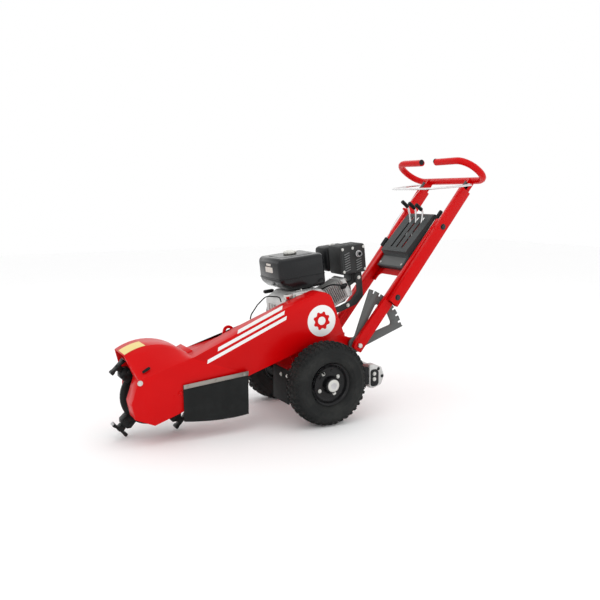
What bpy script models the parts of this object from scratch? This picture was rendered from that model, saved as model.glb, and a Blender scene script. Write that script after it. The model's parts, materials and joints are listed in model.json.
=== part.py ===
"""Pedestrian stump grinder, built as an assembly of separate named solids.

Metres, +Z up.  X runs from the cutter (-X) to the handle (+X), Y from the belt side (-Y) to the recoil
side (+Y).  Positions are written from the axle, and the last step shifts everything by AXLE_X, which puts
the origin on the ground at the middle of the whole machine's box.
"""
import math

import bmesh
import bpy
from mathutils import Vector

COLLECTION = "stump_grinder"
GAP = 0.0003            # clearance kept between faces that touch
TURN_STEPS = 36         # sides of a turned part

# Wheels and axle
AXLE_X = 0.01198        # from the origin to the axle
TYRE_RADIUS = 0.165
TYRE_WIDTH = 0.100
TRACK = 0.440
RIM_RADIUS = 0.083
AXLE_RADIUS = 0.0125

# Cutter wheel
CUTTER_X = -0.644
CUTTER_Z = 0.152
CUTTER_Y = -0.020
DISC_RADIUS = 0.112
DISC_THICKNESS = 0.020
TOOTH_FACE = 0.173      # radius of the flat outer face of a tooth head
TOOTH_SPAN = 0.070      # length of a tooth head along the rim
TOOTH_STATIONS = (45.0, 135.0, 225.0, 315.0)

# Side planes of the arm
GUARD_Y = -0.163        # outer face of the belt guard
LEFT_Y = -0.088         # outer face of the left frame plate
RIGHT_Y = 0.040         # inner face of the right frame plate
HOOD_FAR_Y = 0.0485     # outer face of the hood's far wall
PLATE = 0.005
SHEET = 0.0025
HOOD_RADIUS = 0.207
HOOD_CENTRE = (-0.644, 0.146)
HOOD_FRONT = 122.0      # degrees from +X at which the hood's roof starts
HOOD_REAR = 52.0        # and where its arc ends
EYE_CENTRE = (-0.331, 0.366)

# Engine, placed from its crankshaft and tilted with the deck
CRANK_X = 0.008
CRANK_Z = 0.400
ENGINE_TILT = 6.0
ENGINE_BASE = -0.118    # deck face below the crankshaft
BARREL_BASE = (0.078, 0.0, 0.040)
BARREL_TILT = 22.0

# Belt drive
BELT_Y = -0.124
BELT_WIDTH = 0.022
BELT_THICKNESS = 0.008
DRIVE_PULLEY = 0.045
CUTTER_PULLEY = 0.054

# Handle, placed from its pivot: s runs up the rails, n forward and up from them
PIVOT_X = 0.206
PIVOT_Z = 0.276
RAIL_ANGLE = 51.9
INNER_RAIL_Y = 0.118
OUTER_RAIL_Y = 0.143
RAIL_WALL = 0.0025
RING_S = 0.866
RING_TUBE = 0.0145
BAIL_WIRE = 0.0045
BAIL_PIVOT = (0.832, 0.0)
QUADRANT_Y = -0.096
QUADRANT_RADIUS = 0.235
NOTCH_DEPTH = 0.013
NOTCH_PITCH = 8.0
LOCK_CLEARANCE = 0.0005
LEVER_PIVOT = (0.540, -0.006)
PIN_RADIUS = 0.004


def clear_scene():
    for obj in list(bpy.data.objects):
        bpy.data.objects.remove(obj, do_unlink=True)


def collection(name):
    made = bpy.data.collections.new(name)
    bpy.context.scene.collection.children.link(made)
    return made


def material(name, colour, roughness, metallic=0.0):
    made = bpy.data.materials.new(name)
    made.use_nodes = True
    shader = made.node_tree.nodes["Principled BSDF"]
    shader.inputs["Base Color"].default_value = (*colour, 1.0)
    shader.inputs["Roughness"].default_value = roughness
    shader.inputs["Metallic"].default_value = metallic
    return made


def link(name, data, mat, parent=None, at=(0, 0, 0), turn=(0, 0, 0)):
    """Put mesh or curve data in the scene as a named part in its parent's frame."""
    data.materials.append(mat)
    obj = bpy.data.objects.new(name, data)
    PARTS.objects.link(obj)
    obj.parent = parent
    obj.location = at
    obj.rotation_euler = turn
    return obj


def frame_at(name, at, turn=(0, 0, 0), parent=None):
    """An empty that carries the pieces that move or tilt together."""
    empty = bpy.data.objects.new(name, None)
    PARTS.objects.link(empty)
    empty.parent = parent
    empty.location = at
    empty.rotation_euler = turn
    return empty


def add_bevel(obj, width, segments=2, angle=40.0):
    modifier = obj.modifiers.new("edges", "BEVEL")
    modifier.width = width
    modifier.segments = segments
    modifier.limit_method = "ANGLE"
    modifier.angle_limit = math.radians(angle)
    return obj


def box(name, low, high, mat, parent=None, bevel=0.0, segments=1):
    """A block between two corners of its parent's frame."""
    low, high = Vector(low), Vector(high)
    mesh = bpy.data.meshes.new(name)
    shape = bmesh.new()
    bmesh.ops.create_cube(shape, size=1.0)
    bmesh.ops.scale(shape, vec=high - low, verts=shape.verts)
    shape.to_mesh(mesh)
    shape.free()
    obj = link(name, mesh, mat, parent, (low + high) / 2)
    return add_bevel(obj, bevel, segments) if bevel else obj


def smooth(obj, angle=35.0):
    obj.data.shade_smooth()
    obj.data.set_sharp_from_angle(angle=math.radians(angle))
    return obj


AXIS_TURN = {"X": (0, math.pi / 2, 0), "Y": (-math.pi / 2, 0, 0), "Z": (0, 0, 0)}


def cylinder(name, radius, start, length, axis, mat, parent=None, sides=24, end_radius=None):
    """A round bar from start, along +X, +Y or +Z of its parent."""
    mesh = bpy.data.meshes.new(name)
    shape = bmesh.new()
    bmesh.ops.create_cone(shape, cap_ends=True, segments=sides, radius1=radius,
                          radius2=radius if end_radius is None else end_radius, depth=length)
    bmesh.ops.translate(shape, vec=(0, 0, length / 2), verts=shape.verts)
    shape.to_mesh(mesh)
    shape.free()
    return smooth(link(name, mesh, mat, parent, start, AXIS_TURN[axis]))


def turned(name, profile, at, mat, parent=None, steps=TURN_STEPS, axis="Y", closed=True):
    """A lathe part: profile is (radius, height) along the axis, outer side running top to bottom."""
    mesh = bpy.data.meshes.new(name)
    count = len(profile)
    edges = [(i, i + 1) for i in range(count - 1)] + ([(count - 1, 0)] if closed else [])
    mesh.from_pydata([(r, 0.0, h) for r, h in profile], edges, [])
    obj = link(name, mesh, mat, parent, at, AXIS_TURN[axis])
    screw = obj.modifiers.new("turn", "SCREW")
    screw.steps = steps
    screw.render_steps = steps
    screw.use_merge_vertices = True
    screw.merge_threshold = 0.00001
    screw.use_smooth_shade = True
    return obj


def arc(centre, radius, start, end, steps):
    """Points on a circle in the side view, angles in degrees from +X towards +Z."""
    angles = [math.radians(start + (end - start) * i / steps) for i in range(steps + 1)]
    return [(centre[0] + radius * math.cos(a), centre[1] + radius * math.sin(a)) for a in angles]


def rounded(points, radius, steps=4, closed=True):
    """The same outline or route with each corner replaced by an arc of the given radius."""
    corners = [Vector(p) for p in points]
    count = len(corners)
    made = []
    for i, corner in enumerate(corners):
        if not closed and i in (0, count - 1):
            made.append(corner)
            continue
        back = (corners[i - 1] - corner)
        ahead = (corners[(i + 1) % count] - corner)
        reach = min(back.length, ahead.length) * 0.49
        back.normalize()
        ahead.normalize()
        half = back.angle(ahead) / 2
        setback = min(radius / math.tan(half), reach)
        middle = corner + (back + ahead).normalized() * (setback / math.cos(half))
        first = corner + back * setback - middle
        last = corner + ahead * setback - middle
        sweep = math.pi - 2 * half
        for k in range(steps + 1):
            f = k / steps
            along = first * math.sin((1 - f) * sweep) + last * math.sin(f * sweep)
            made.append(middle + along / math.sin(sweep))
    return [tuple(p) for p in made]


def plate(name, outline, y_low, y_high, mat, parent=None, holes=()):
    """A flat part: an outline in the side view (x, z), with holes, extruded from y_low to y_high."""
    curve = bpy.data.curves.new(name, "CURVE")
    curve.dimensions = "2D"
    curve.fill_mode = "BOTH"
    curve.extrude = (y_high - y_low) / 2
    for loop in (outline, *holes):
        spline = curve.splines.new("POLY")
        spline.points.add(len(loop) - 1)
        for point, (x, z) in zip(spline.points, loop):
            point.co = (x, z, 0.0, 1.0)
        spline.use_cyclic_u = True
    return link(name, curve, mat, parent, (0, (y_low + y_high) / 2, 0), (math.pi / 2, 0, 0))


def circle(centre, radius, steps=20):
    return arc(centre, radius, 0, 360 - 360 / steps, steps - 1)


def tube(name, route, radius, mat, parent=None, resolution=2):
    """A round wire, bar or cable along a route of (x, y, z) points."""
    curve = bpy.data.curves.new(name, "CURVE")
    curve.dimensions = "3D"
    curve.bevel_depth = radius
    curve.bevel_resolution = resolution
    curve.use_fill_caps = True
    spline = curve.splines.new("POLY")
    spline.points.add(len(route) - 1)
    for point, place in zip(spline.points, route):
        point.co = (*place, 1.0)
    return link(name, curve, mat, parent)


def to_mesh(obj):
    """Turn a curve part, or one with modifiers, into a plain mesh part at the same place."""
    bpy.context.view_layer.update()
    seen = obj.evaluated_get(bpy.context.evaluated_depsgraph_get())
    mesh = bpy.data.meshes.new_from_object(seen)
    shape = bmesh.new()
    shape.from_mesh(mesh)
    bmesh.ops.remove_doubles(shape, verts=shape.verts, dist=0.00001)
    shape.to_mesh(mesh)
    shape.free()
    name, parent, matrix = obj.name, obj.parent, obj.matrix_world.copy()
    users = list(obj.users_collection)
    bpy.data.objects.remove(obj, do_unlink=True)
    made = bpy.data.objects.new(name, mesh)
    for user in users:
        user.objects.link(made)
    made.parent = parent
    made.matrix_world = matrix
    return made


def boolean(obj, tool, operation="DIFFERENCE"):
    """Cut obj with tool, or weld tool onto it; the tool stays as a hidden guide."""
    for user in list(tool.users_collection):
        user.objects.unlink(tool)
    CUTTERS.objects.link(tool)
    tool.hide_render = True
    tool.display_type = "WIRE"
    modifier = obj.modifiers.new(tool.name, "BOOLEAN")
    modifier.operation = operation
    modifier.object = tool
    return obj


def shell(name, faces, thickness, mat, parent=None, offset=-1.0):
    """Sheet metal: an open surface given by its face corners, thickened by Solidify."""
    mesh = bpy.data.meshes.new(name)
    shape = bmesh.new()
    for corners in faces:
        shape.faces.new([shape.verts.new(c) for c in corners])
    bmesh.ops.remove_doubles(shape, verts=shape.verts, dist=0.0001)
    bmesh.ops.recalc_face_normals(shape, faces=shape.faces)
    shape.to_mesh(mesh)
    shape.free()
    obj = link(name, mesh, mat, parent)
    solid = obj.modifiers.new("sheet", "SOLIDIFY")
    solid.thickness = thickness
    solid.offset = offset
    solid.use_even_offset = True
    return obj


# ---------------------------------------------------------------- arm, hood and guard

ARM_TOP = [(-0.521, 0.306), (-0.339, 0.384), (-0.140, 0.463), (0.000, 0.512), (0.024, 0.511), (0.050, 0.496)]
ARM_REAR = [(0.109, 0.343), (-0.074, 0.292), (-0.295, 0.218)]
ARM_NOSE = [(-0.554, 0.114), (-0.668, 0.074), (-0.737, 0.104), (-0.749, 0.162), (-0.721, 0.245)]
GUARD_OUTLINE = ARM_TOP + ARM_REAR + ARM_NOSE


def inset(outline, distance):
    """The outline moved inwards by a distance, corner by corner (it runs clockwise in the side view)."""
    made = []
    count = len(outline)
    for i in range(count):
        here = Vector(outline[i])
        back = (here - Vector(outline[i - 1])).normalized()
        ahead = (Vector(outline[(i + 1) % count]) - here).normalized()
        inner = Vector((back.y, -back.x)) + Vector((ahead.y, -ahead.x))
        inner.normalize()
        made.append(tuple(here + inner * distance / max(0.35, inner.dot(Vector((back.y, -back.x))))))
    return made


def hood_roof():
    """Side profile of the hood's roof, front edge to rear."""
    return arc(HOOD_CENTRE, HOOD_RADIUS, HOOD_FRONT, HOOD_REAR, 12) + [(-0.498, 0.3180)]


def belt_guard(mat):
    """Pressed cover on the belt side: flat face, rim all round, and a panel leaning up to the hood."""
    face = [(x, GUARD_Y, z) for x, z in GUARD_OUTLINE]
    rim_y = LEFT_Y - GAP
    faces = [face]
    top_front = len(GUARD_OUTLINE) - 1
    for i in range(len(GUARD_OUTLINE) - 1):
        (x0, z0), (x1, z1) = GUARD_OUTLINE[i], GUARD_OUTLINE[i + 1]
        faces.append([(x0, GUARD_Y, z0), (x1, GUARD_Y, z1), (x1, rim_y, z1), (x0, rim_y, z0)])
    roof = [(x, LEFT_Y - 2 * SHEET, z) for x, z in hood_roof()[:-1]]
    (x0, z0), (x1, z1) = GUARD_OUTLINE[top_front], GUARD_OUTLINE[0]
    crease = [(x0 + (x1 - x0) * i / (len(roof) - 1), GUARD_Y, z0 + (z1 - z0) * i / (len(roof) - 1))
              for i in range(len(roof))]
    for i in range(len(roof) - 1):
        faces.append([crease[i], crease[i + 1], roof[i + 1], roof[i]])
    faces.append([crease[0], roof[0], (x0, rim_y, z0)])
    faces.append([crease[-1], (x1, rim_y, z1), roof[-1]])
    faces[0] = face + crease[1:-1]
    return shell("belt_guard", faces, SHEET, mat)


def cutter_hood(mat):
    """Roof strip over the cutter and the wall on the recoil side, one pressed sheet."""
    roof = hood_roof()
    near, far = LEFT_Y, HOOD_FAR_Y
    faces = []
    for (x0, z0), (x1, z1) in zip(roof, roof[1:]):
        faces.append([(x0, near, z0), (x1, near, z1), (x1, far, z1), (x0, far, z0)])
    skirt = [(-0.500, 0.140), (-0.668, 0.076), (-0.735, 0.110), (-0.728, 0.215)]
    faces.append([(x, far, z) for x, z in roof + skirt])
    hood = shell("cutter_hood", faces, 0.003, mat)
    port = cylinder("bearing_port", 0.0385, (CUTTER_X, far - 0.01, CUTTER_Z), 0.02, "Y", mat, sides=24)
    return boolean(hood, port)


def frame_plate(name, y_low, mat, outline, holes):
    return plate(name, outline, y_low, y_low + PLATE, mat, holes=holes)


def chassis(red, steel, zinc):
    shaft_hole = circle((CUTTER_X, CUTTER_Z), 0.016)
    axle_hole = circle((0.0, TYRE_RADIUS), AXLE_RADIUS + GAP)
    pivot_hole = circle((PIVOT_X, PIVOT_Z), 0.010 + GAP)
    crank_hole = circle((CRANK_X, CRANK_Z), 0.030)
    inner = inset(GUARD_OUTLINE, SHEET + 2 * GAP)
    top, nose = inner[:len(ARM_TOP)], inner[-len(ARM_NOSE):]
    tail = [(0.118, 0.330), (0.180, 0.306), (0.235, 0.300), (0.236, 0.262), (0.212, 0.240), (0.236, 0.208),
            (0.236, 0.170), (0.200, 0.166), (0.100, 0.180), (0.045, 0.135), (-0.045, 0.135), (-0.070, 0.215),
            (-0.100, 0.270), (-0.295, 0.224)]
    frame_plate("left_frame_plate", LEFT_Y, red, top + tail + nose,
                [shaft_hole, axle_hole, pivot_hole, crank_hole])
    right_top = [(-0.500, 0.2885), (-0.340, 0.328), (-0.212, 0.380), (-0.204, 0.2525), (0.1745, 0.2922)]
    right_nose = [(-0.500, 0.145), (-0.668, 0.082), (-0.730, 0.115), (-0.722, 0.215), (-0.600, 0.300)]
    right_tail = tail[1:-3] + [(-0.045, 0.135), (-0.110, 0.200), (-0.295, 0.205)]
    frame_plate("right_frame_plate", RIGHT_Y, red, right_top + right_tail + right_nose,
                [shaft_hole, axle_hole, pivot_hole])
    lean = math.radians(ENGINE_TILT)
    deck = frame_at("deck_frame", (CRANK_X, 0, CRANK_Z), (0, -lean, 0))
    box("engine_deck", (-0.195, LEFT_Y + PLATE + GAP, ENGINE_BASE - 0.006), (0.150, 0.150, ENGINE_BASE),
        red, deck, bevel=0.0015)
    top_route = [(-0.496, 0.2960), (-0.340, 0.332), (-0.206, 0.386), (-0.199, 0.300)]
    faces = [[(x0, LEFT_Y + PLATE + GAP, z0), (x1, LEFT_Y + PLATE + GAP, z1), (x1, RIGHT_Y - GAP, z1),
              (x0, RIGHT_Y - GAP, z0)] for (x0, z0), (x1, z1) in zip(top_route, top_route[1:])]
    shell("arm_top_plate", faces, 0.004, red, offset=1.0)
    for side, at in (("left", -1), ("right", 1)):
        y = LEFT_Y - 0.012 if at < 0 else RIGHT_Y + PLATE + GAP
        turned(f"cutter_bearing_{side}", [(0.0165, 0.0117), (0.026, 0.0117), (0.030, 0.004), (0.038, 0.004),
                                          (0.038, 0.0), (0.0165, 0.0)] if at > 0 else
               [(0.0165, 0.0117), (0.038, 0.0117), (0.038, 0.0077), (0.030, 0.0077), (0.026, 0.0),
                 (0.0165, 0.0)],
               (CUTTER_X, y, CUTTER_Z), steel, steps=24)
    ring = arc(EYE_CENTRE, 0.023, 180, 0, 10)
    plate("lifting_eye", [(-0.362, 0.3325), *ring, (-0.303, 0.3532), (-0.340, 0.3382)], -0.034, -0.026, red,
          holes=[circle(EYE_CENTRE, 0.012, 16)])
    cylinder("axle", AXLE_RADIUS, (0, -TRACK / 2 - 0.058, TYRE_RADIUS), TRACK + 0.116, "Y", steel)
    cylinder("handle_pivot_shaft", 0.010, (PIVOT_X, -0.136, PIVOT_Z), 0.272, "Y", zinc)
    box("rear_cross_tube", (0.090, LEFT_Y + PLATE + GAP, 0.222), (0.122, RIGHT_Y - GAP, 0.254), red,
        bevel=0.003)


def chip_guards(rubber, grey):
    """Rubber flap beside the cutter and the curtain in front of the wheels."""
    top_l, top_r = Vector((-0.562, 0.212)), Vector((-0.309, 0.236))
    low = 0.016
    y = GUARD_Y - GAP
    strip = [tuple(top_l), tuple(top_r), (top_r.x, top_r.y - low), (top_l.x, top_l.y - low)]
    plate("flap_clamp_strip", strip, y - 0.0105, y - 0.0065, grey)
    sag = [(-0.560, 0.076), (-0.500, 0.064), (-0.440, 0.060), (-0.380, 0.062), (-0.309, 0.070)]
    outline = [(top_l.x, top_l.y - 0.001), (top_r.x, top_r.y - 0.001), *reversed(sag)]
    plate("side_chip_flap", outline, y - 0.0062, y, rubber)
    box("chip_curtain", (-0.136, -0.160, 0.078), (-0.130, -0.020, 0.216), rubber, bevel=0.002)


# ---------------------------------------------------------------- cutter, belt and wheels

def cutter_wheel(black, steel, carbide):
    hub = frame_at("cutter_axis", (CUTTER_X, CUTTER_Y, CUTTER_Z))
    cylinder("cutter_shaft", 0.0155, (0, -0.117, 0), 0.185, "Y", steel, hub)
    half = DISC_THICKNESS / 2
    rim = [(DISC_RADIUS - 0.004, half), (DISC_RADIUS, half - 0.004), (DISC_RADIUS, 0.004 - half),
           (DISC_RADIUS - 0.004, -half)]
    profile = [(0.0160, 0.030), (0.034, 0.030), (0.034, half), *rim, (0.034, -half), (0.034, -0.030),
               (0.0160, -0.030)]
    disc = turned("cutter_disc", profile, (0, 0, 0), black, hub, steps=48)
    for i, station in enumerate(TOOTH_STATIONS, 1):
        turn = (0, -math.radians(station), 0)
        holder = frame_at(f"tooth_station_{i}", (0, 0, 0), turn, hub)
        inner = DISC_RADIUS - 0.012
        side = [(inner, -0.022), (0.136, -0.024), (0.147, -0.013), (0.147, 0.013), (0.136, 0.024),
                (inner, 0.022)]
        pocket = to_mesh(plate(f"tooth_holder_{i}", side, -0.021, 0.021, black, holder))
        boolean(disc, pocket, "UNION")
        neck = [(TOOTH_FACE, 0.0), (TOOTH_FACE, TOOTH_SPAN / 2), (TOOTH_FACE - 0.013, TOOTH_SPAN / 2),
                (TOOTH_FACE - 0.014, 0.014), (0.1473, 0.012)]
        outline = neck + [(x, -z) for x, z in reversed(neck[1:])]
        plate(f"cutter_tooth_{i}", outline, -0.016, 0.016, carbide, holder)
    pulley("cutter_pulley", CUTTER_PULLEY, 0.0158, steel, hub, BELT_Y - CUTTER_Y)


def pulley(name, radius, bore, mat, parent, y):
    """Flat-bottomed belt pulley; the belt's inner face rides GAP clear of the groove."""
    half = BELT_WIDTH / 2 + 2 * GAP
    rim = radius + BELT_THICKNESS * 0.6
    side = half + 0.003
    floor = radius - 0.0010
    turned(name, [(bore, side), (rim - 0.001, side), (rim, half), (floor, half), (floor, -half), (rim, -half),
                  (rim - 0.001, -side), (bore, -side)], (0, y, 0), mat, parent, steps=32)


def drive_belt(rubber):
    """One loop round both pulleys."""
    a, b = Vector((CRANK_X, CRANK_Z)), Vector((CUTTER_X, CUTTER_Z))
    along = b - a
    base = math.degrees(math.atan2(along.y, along.x))
    lean = math.degrees(math.asin((DRIVE_PULLEY - CUTTER_PULLEY) / along.length))

    def loop(extra):
        first = arc(a, DRIVE_PULLEY + extra, base + 90 + lean, base + 270 - lean, 12)
        second = arc(b, CUTTER_PULLEY + extra, base - 90 - lean, base + 90 + lean, 12)
        return first + second

    plate("drive_belt", loop(BELT_THICKNESS), BELT_Y - BELT_WIDTH / 2, BELT_Y + BELT_WIDTH / 2, rubber,
          holes=[loop(0.0)])


def crank(steel):
    axis = frame_at("crank_axis", (CRANK_X, 0, CRANK_Z))
    cylinder("crankshaft", 0.0125, (0, BELT_Y - 0.018, 0), 0.0617, "Y", steel, axis, sides=20)
    pulley("drive_pulley", DRIVE_PULLEY, 0.0128, steel, axis, BELT_Y)


def wheel(side, tyre_rubber, rim_black):
    """Tyre and dished rim, turned round the axle; side is -1 on the belt side."""
    name = "left" if side < 0 else "right"
    hub = frame_at(f"{name}_wheel_axis", (0, side * TRACK / 2, TYRE_RADIUS))
    half = TYRE_WIDTH / 2
    r = TYRE_RADIUS
    outer = [(RIM_RADIUS + GAP, 0.030), (0.093, 0.040), (0.118, half), (0.138, half - 0.002),
             (r - 0.010, half - 0.010), (r - 0.002, half - 0.020), (r, 0.0)]
    inner = [(RIM_RADIUS + GAP, -0.020), (RIM_RADIUS + GAP, 0.020)]
    profile = outer + [(x, -y) for x, y in reversed(outer[:-1])] + inner
    turned(f"{name}_tyre", profile, (0, 0, 0), tyre_rubber, hub, steps=44)
    dish = [(0.0128, 0.050), (0.030, 0.050), (0.030, 0.022), (0.060, 0.014), (0.072, 0.024), (0.080, 0.034),
            (RIM_RADIUS, 0.034), (RIM_RADIUS, -0.034), (0.079, -0.034), (0.066, -0.004), (0.056, -0.004),
            (0.030, 0.004), (0.030, -0.048), (0.0128, -0.048)]
    if side < 0:
        dish = [(x, -y) for x, y in reversed(dish)]
    turned(f"{name}_rim", dish, (0, 0, 0), rim_black, hub, steps=36)


# ---------------------------------------------------------------- engine

def engine(alloy, black, shroud, tank_black, zinc, rubber):
    """Single-cylinder engine in its own tilted frame, crankshaft at the origin."""
    body = frame_at("engine_frame", (CRANK_X, 0, CRANK_Z), (0, -math.radians(ENGINE_TILT), 0))
    floor = ENGINE_BASE + GAP
    case = rounded([(-0.110, floor), (0.1129, floor), (0.1129, 0.0109), (0.0829, 0.0851), (0.060, 0.1085),
                    (-0.060, 0.1085), (-0.112, 0.080)], 0.018, 3)
    plate("engine_crankcase", case, -0.0675, 0.100, alloy, body)
    fins = []
    start = 0.022
    for i in range(7):
        x = start + 0.008 + i * 0.0115
        fins += [(x, 0.034), (x, 0.046), (x + 0.0045, 0.046), (x + 0.0045, 0.034)]
    lower = [(x, -z) for x, z in reversed(fins)]
    cylinder_side = [(start, 0.034)] + fins + [(0.112, 0.034), (0.112, -0.034)] + lower + [(start, -0.034)]
    barrel = frame_at("cylinder_frame", BARREL_BASE, (0, -math.radians(BARREL_TILT), 0), body)
    plate("engine_cylinder", cylinder_side, -0.045, 0.045, alloy, barrel)
    box("cylinder_head_cover", (0.1125, -0.044, -0.044), (0.140, 0.044, 0.044), shroud, barrel, bevel=0.008,
        segments=2)
    tank = [(-0.100, 0.146), (-0.100, 0.246), (0.110, 0.246), (0.110, 0.110), (-0.060, 0.110)]
    tank = to_mesh(plate("fuel_tank", tank, -0.036, 0.172, tank_black, body))
    add_bevel(tank, 0.018, 3, 30.0)
    turned("fuel_cap", [(0.0, 0.016), (0.024, 0.016), (0.027, 0.012), (0.027, 0.0), (0.0, 0.0)],
           (0.005, 0.072, 0.2464), zinc, body, steps=24, axis="Z", closed=False)
    box("muffler", (0.168, -0.060, 0.143), (0.290, 0.044, 0.262), shroud, body, bevel=0.010, segments=2)
    box("air_cleaner", (0.160, 0.048, 0.148), (0.286, 0.150, 0.252), black, body, bevel=0.016, segments=2)
    elbow = [(0.2082, -0.020, 0.0926), (0.2440, -0.020, 0.1070), (0.2440, -0.020, 0.1426)]
    tube("exhaust_pipe", rounded(elbow, 0.016, 4, closed=False), 0.011, shroud, body)
    dome = [(0.0, 0.050), (0.060, 0.050), (0.092, 0.040), (0.108, 0.020), (0.108, 0.0), (0.0, 0.0)]
    turned("recoil_housing", dome, (0, 0.1003, 0.0), black, body, steps=32, closed=False)
    grip = frame_at("recoil_frame", (-0.078, 0.138, 0.089), (0, 0, 0), body)
    box("recoil_grip", (-0.022, -0.010, 0.0), (0.022, 0.010, 0.014), black, grip, bevel=0.004, segments=2)
    cylinder("oil_filler_plug", 0.013, (-0.138, 0.050, -0.030), 0.0230, "X", black, body, sides=16)
    route = [(-0.117, -0.058, 0.082), (-0.122, -0.060, 0.103), (-0.184, -0.068, 0.118),
             (-0.228, -0.078, 0.092),
             (-0.264, -0.092, 0.062), (-0.273, -0.100, 0.0475)]
    tube("throttle_cable", rounded(route, 0.04, 5, closed=False), 0.0024, rubber, body, resolution=1)


# ---------------------------------------------------------------- handle

def rail_tube(name, s_low, s_high, n_low, n_high, y, width, mat, parent):
    """Rectangular tube open at both ends, made by cutting its bore out of a bar."""
    low = (s_low, y - width / 2, n_low)
    high = (s_high, y + width / 2, n_high)
    bar = box(name, low, high, mat, parent)
    w = RAIL_WALL
    core = box(f"{name}_bore", (s_low - 0.01, low[1] + w, n_low + w),
               (s_high + 0.01, high[1] - w, n_high - w),
               mat, parent)
    return boolean(bar, core)


def handle(red, steel, console_grey, black, zinc, silver):
    pivot = frame_at("handle_pivot", (PIVOT_X, 0, PIVOT_Z), (0, -math.radians(RAIL_ANGLE), 0))
    for side, name in ((-1, "left"), (1, "right")):
        y = side * INNER_RAIL_Y
        rail = [(-0.022, -0.024), (0.645, -0.033), (0.645, 0.010), (0.0, 0.024), (-0.022, 0.018)]
        lower = to_mesh(plate(f"{name}_lower_rail", rounded(rail, 0.006, 2), y - 0.010, y + 0.010, red, pivot,
                              holes=[circle((0, 0), 0.010 + GAP)]))
        hollow = [(0.040, -0.0210), (0.660, -0.0295), (0.660, 0.0060), (0.040, 0.0185)]
        boolean(lower, to_mesh(plate(f"{name}_rail_hollow", hollow, y - 0.007, y + 0.007, red, pivot)))
        y = side * OUTER_RAIL_Y
        rail_tube(f"{name}_upper_rail", 0.222, 0.812, -0.037, 0.012, y, 0.0245, red, pivot)
    cross = box("handle_cross_plate", (0.318, -INNER_RAIL_Y + 0.0103, -0.022),
                (0.640, INNER_RAIL_Y - 0.0103, -0.018), red, pivot)
    arch = box("cross_plate_arch", (0.250, -0.085, -0.05), (0.356, 0.085, 0.01), red, pivot, bevel=0.02,
               segments=3)
    boolean(cross, arch)
    half, far = 0.250, 0.128
    route = [(RING_S - 0.012, -0.050, far), (RING_S - 0.010, -half, far), (RING_S, -half, -0.016),
             (RING_S, half, -0.016), (RING_S - 0.010, half, far), (RING_S - 0.012, 0.050, far)]
    ring = to_mesh(tube("ring_handlebar", rounded(route, 0.066, 6, closed=False), RING_TUBE, red, pivot,
                        resolution=3))
    for side, name in ((-1, "left"), (1, "right")):
        neck_y = side * OUTER_RAIL_Y
        neck = box(f"{name}_ring_neck", (0.740, neck_y - 0.0045, -0.031), (RING_S, neck_y + 0.0045, 0.002),
                   red, pivot)
        boolean(ring, neck, "UNION")
    console(pivot, console_grey)
    levers(pivot, steel, black, silver)
    lock(pivot, zinc, black)
    bail(pivot, silver)


def console(pivot, mat):
    """Folded sheet cover: sloped slotted face above a label step, open at the back."""
    left, right = -0.086, 0.100
    side = [(0.382, -0.015), (0.382, 0.006), (0.440, 0.006), (0.446, 0.033), (0.652, 0.017), (0.664, 0.010),
            (0.664, -0.015)]
    faces = []
    for (s0, n0), (s1, n1) in zip(side, side[1:]):
        faces.append([(s0, left, n0), (s1, left, n1), (s1, right, n1), (s0, right, n0)])
    for y in (left, right):
        faces.append([(s, y, n) for s, n in side])
    cover = shell("control_console", faces, 0.0025, mat, pivot)
    for i, y in enumerate(LEVER_Y, 1):
        slot = box(f"lever_slot_{i}", (0.468, y - 0.0055, 0.0), (0.640, y + 0.0055, 0.05), mat, pivot)
        boolean(cover, slot)
    return cover


LEVER_Y = (-0.036, 0.004, 0.044)
LEVER_NAMES = ("throttle_lever", "left_brake_lever", "right_brake_lever")


def levers(pivot, steel, black, silver):
    """Flat steel levers on one cross pin, each ending in a rubber grip that points forward."""
    s0, n0 = LEVER_PIVOT
    cylinder("lever_pin", PIN_RADIUS, (s0, -0.083, n0), 0.180, "Y", steel, pivot, sides=16)
    for name, y, reach in zip(LEVER_NAMES, LEVER_Y, (0.0, 0.010, 0.020)):
        hinge = frame_at(f"{name}_pivot", (s0, y, n0), (0, 0, 0), pivot)
        route = rounded([(PIN_RADIUS + GAP, 0, 0.0), (0.070, 0, 0.020), (0.112, 0, 0.046 + reach),
                         (0.116, 0, 0.058 + reach)],
                        0.02, 3, closed=False)
        tube(name, route, 0.0034, silver, hinge, resolution=1)
        stem = to_mesh(bpy.data.objects[name])
        grip = cylinder(f"{name}_grip", 0.0085, (0.1160, 0, 0.0550 + reach), 0.041, "Z", black, hinge,
                        sides=16)
        boolean(stem, grip, "UNION")


def lock(pivot, zinc, black):
    """Sprung rod beside the left rail: its lower end drops into a quadrant notch."""
    rest = QUADRANT_RADIUS + LOCK_CLEARANCE
    slide = frame_at("lock_slide", (rest, QUADRANT_Y, 0), (0, 0, 0), pivot)
    rod = cylinder("lock_rod", 0.0048, (0, 0, 0), 0.410, "X", zinc, slide, sides=16)
    grip = cylinder("lock_grip", 0.0088, (0.405, 0, 0), 0.050, "X", black, slide, sides=20)
    boolean(rod, grip, "UNION")


def bail(pivot, silver):
    """Stop bail of steel wire: swings up to the ring."""
    s0, n0 = BAIL_PIVOT
    hinge = frame_at("bail_hinge", (s0, 0, n0), (0, 0, 0), pivot)
    near, y, far = OUTER_RAIL_Y + 0.005, 0.196, 0.136
    route = [(0.0, -near, 0.0), (0.0, -y, 0.0), (-0.050, -y, 0.052), (-0.130, -far, 0.136),
             (-0.130, far, 0.136), (-0.050, y, 0.052), (0.0, y, 0.0), (0.0, near, 0.0)]
    tube("stop_bail", rounded(route, 0.03, 4, closed=False), BAIL_WIRE, silver, hinge, resolution=1)


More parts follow.
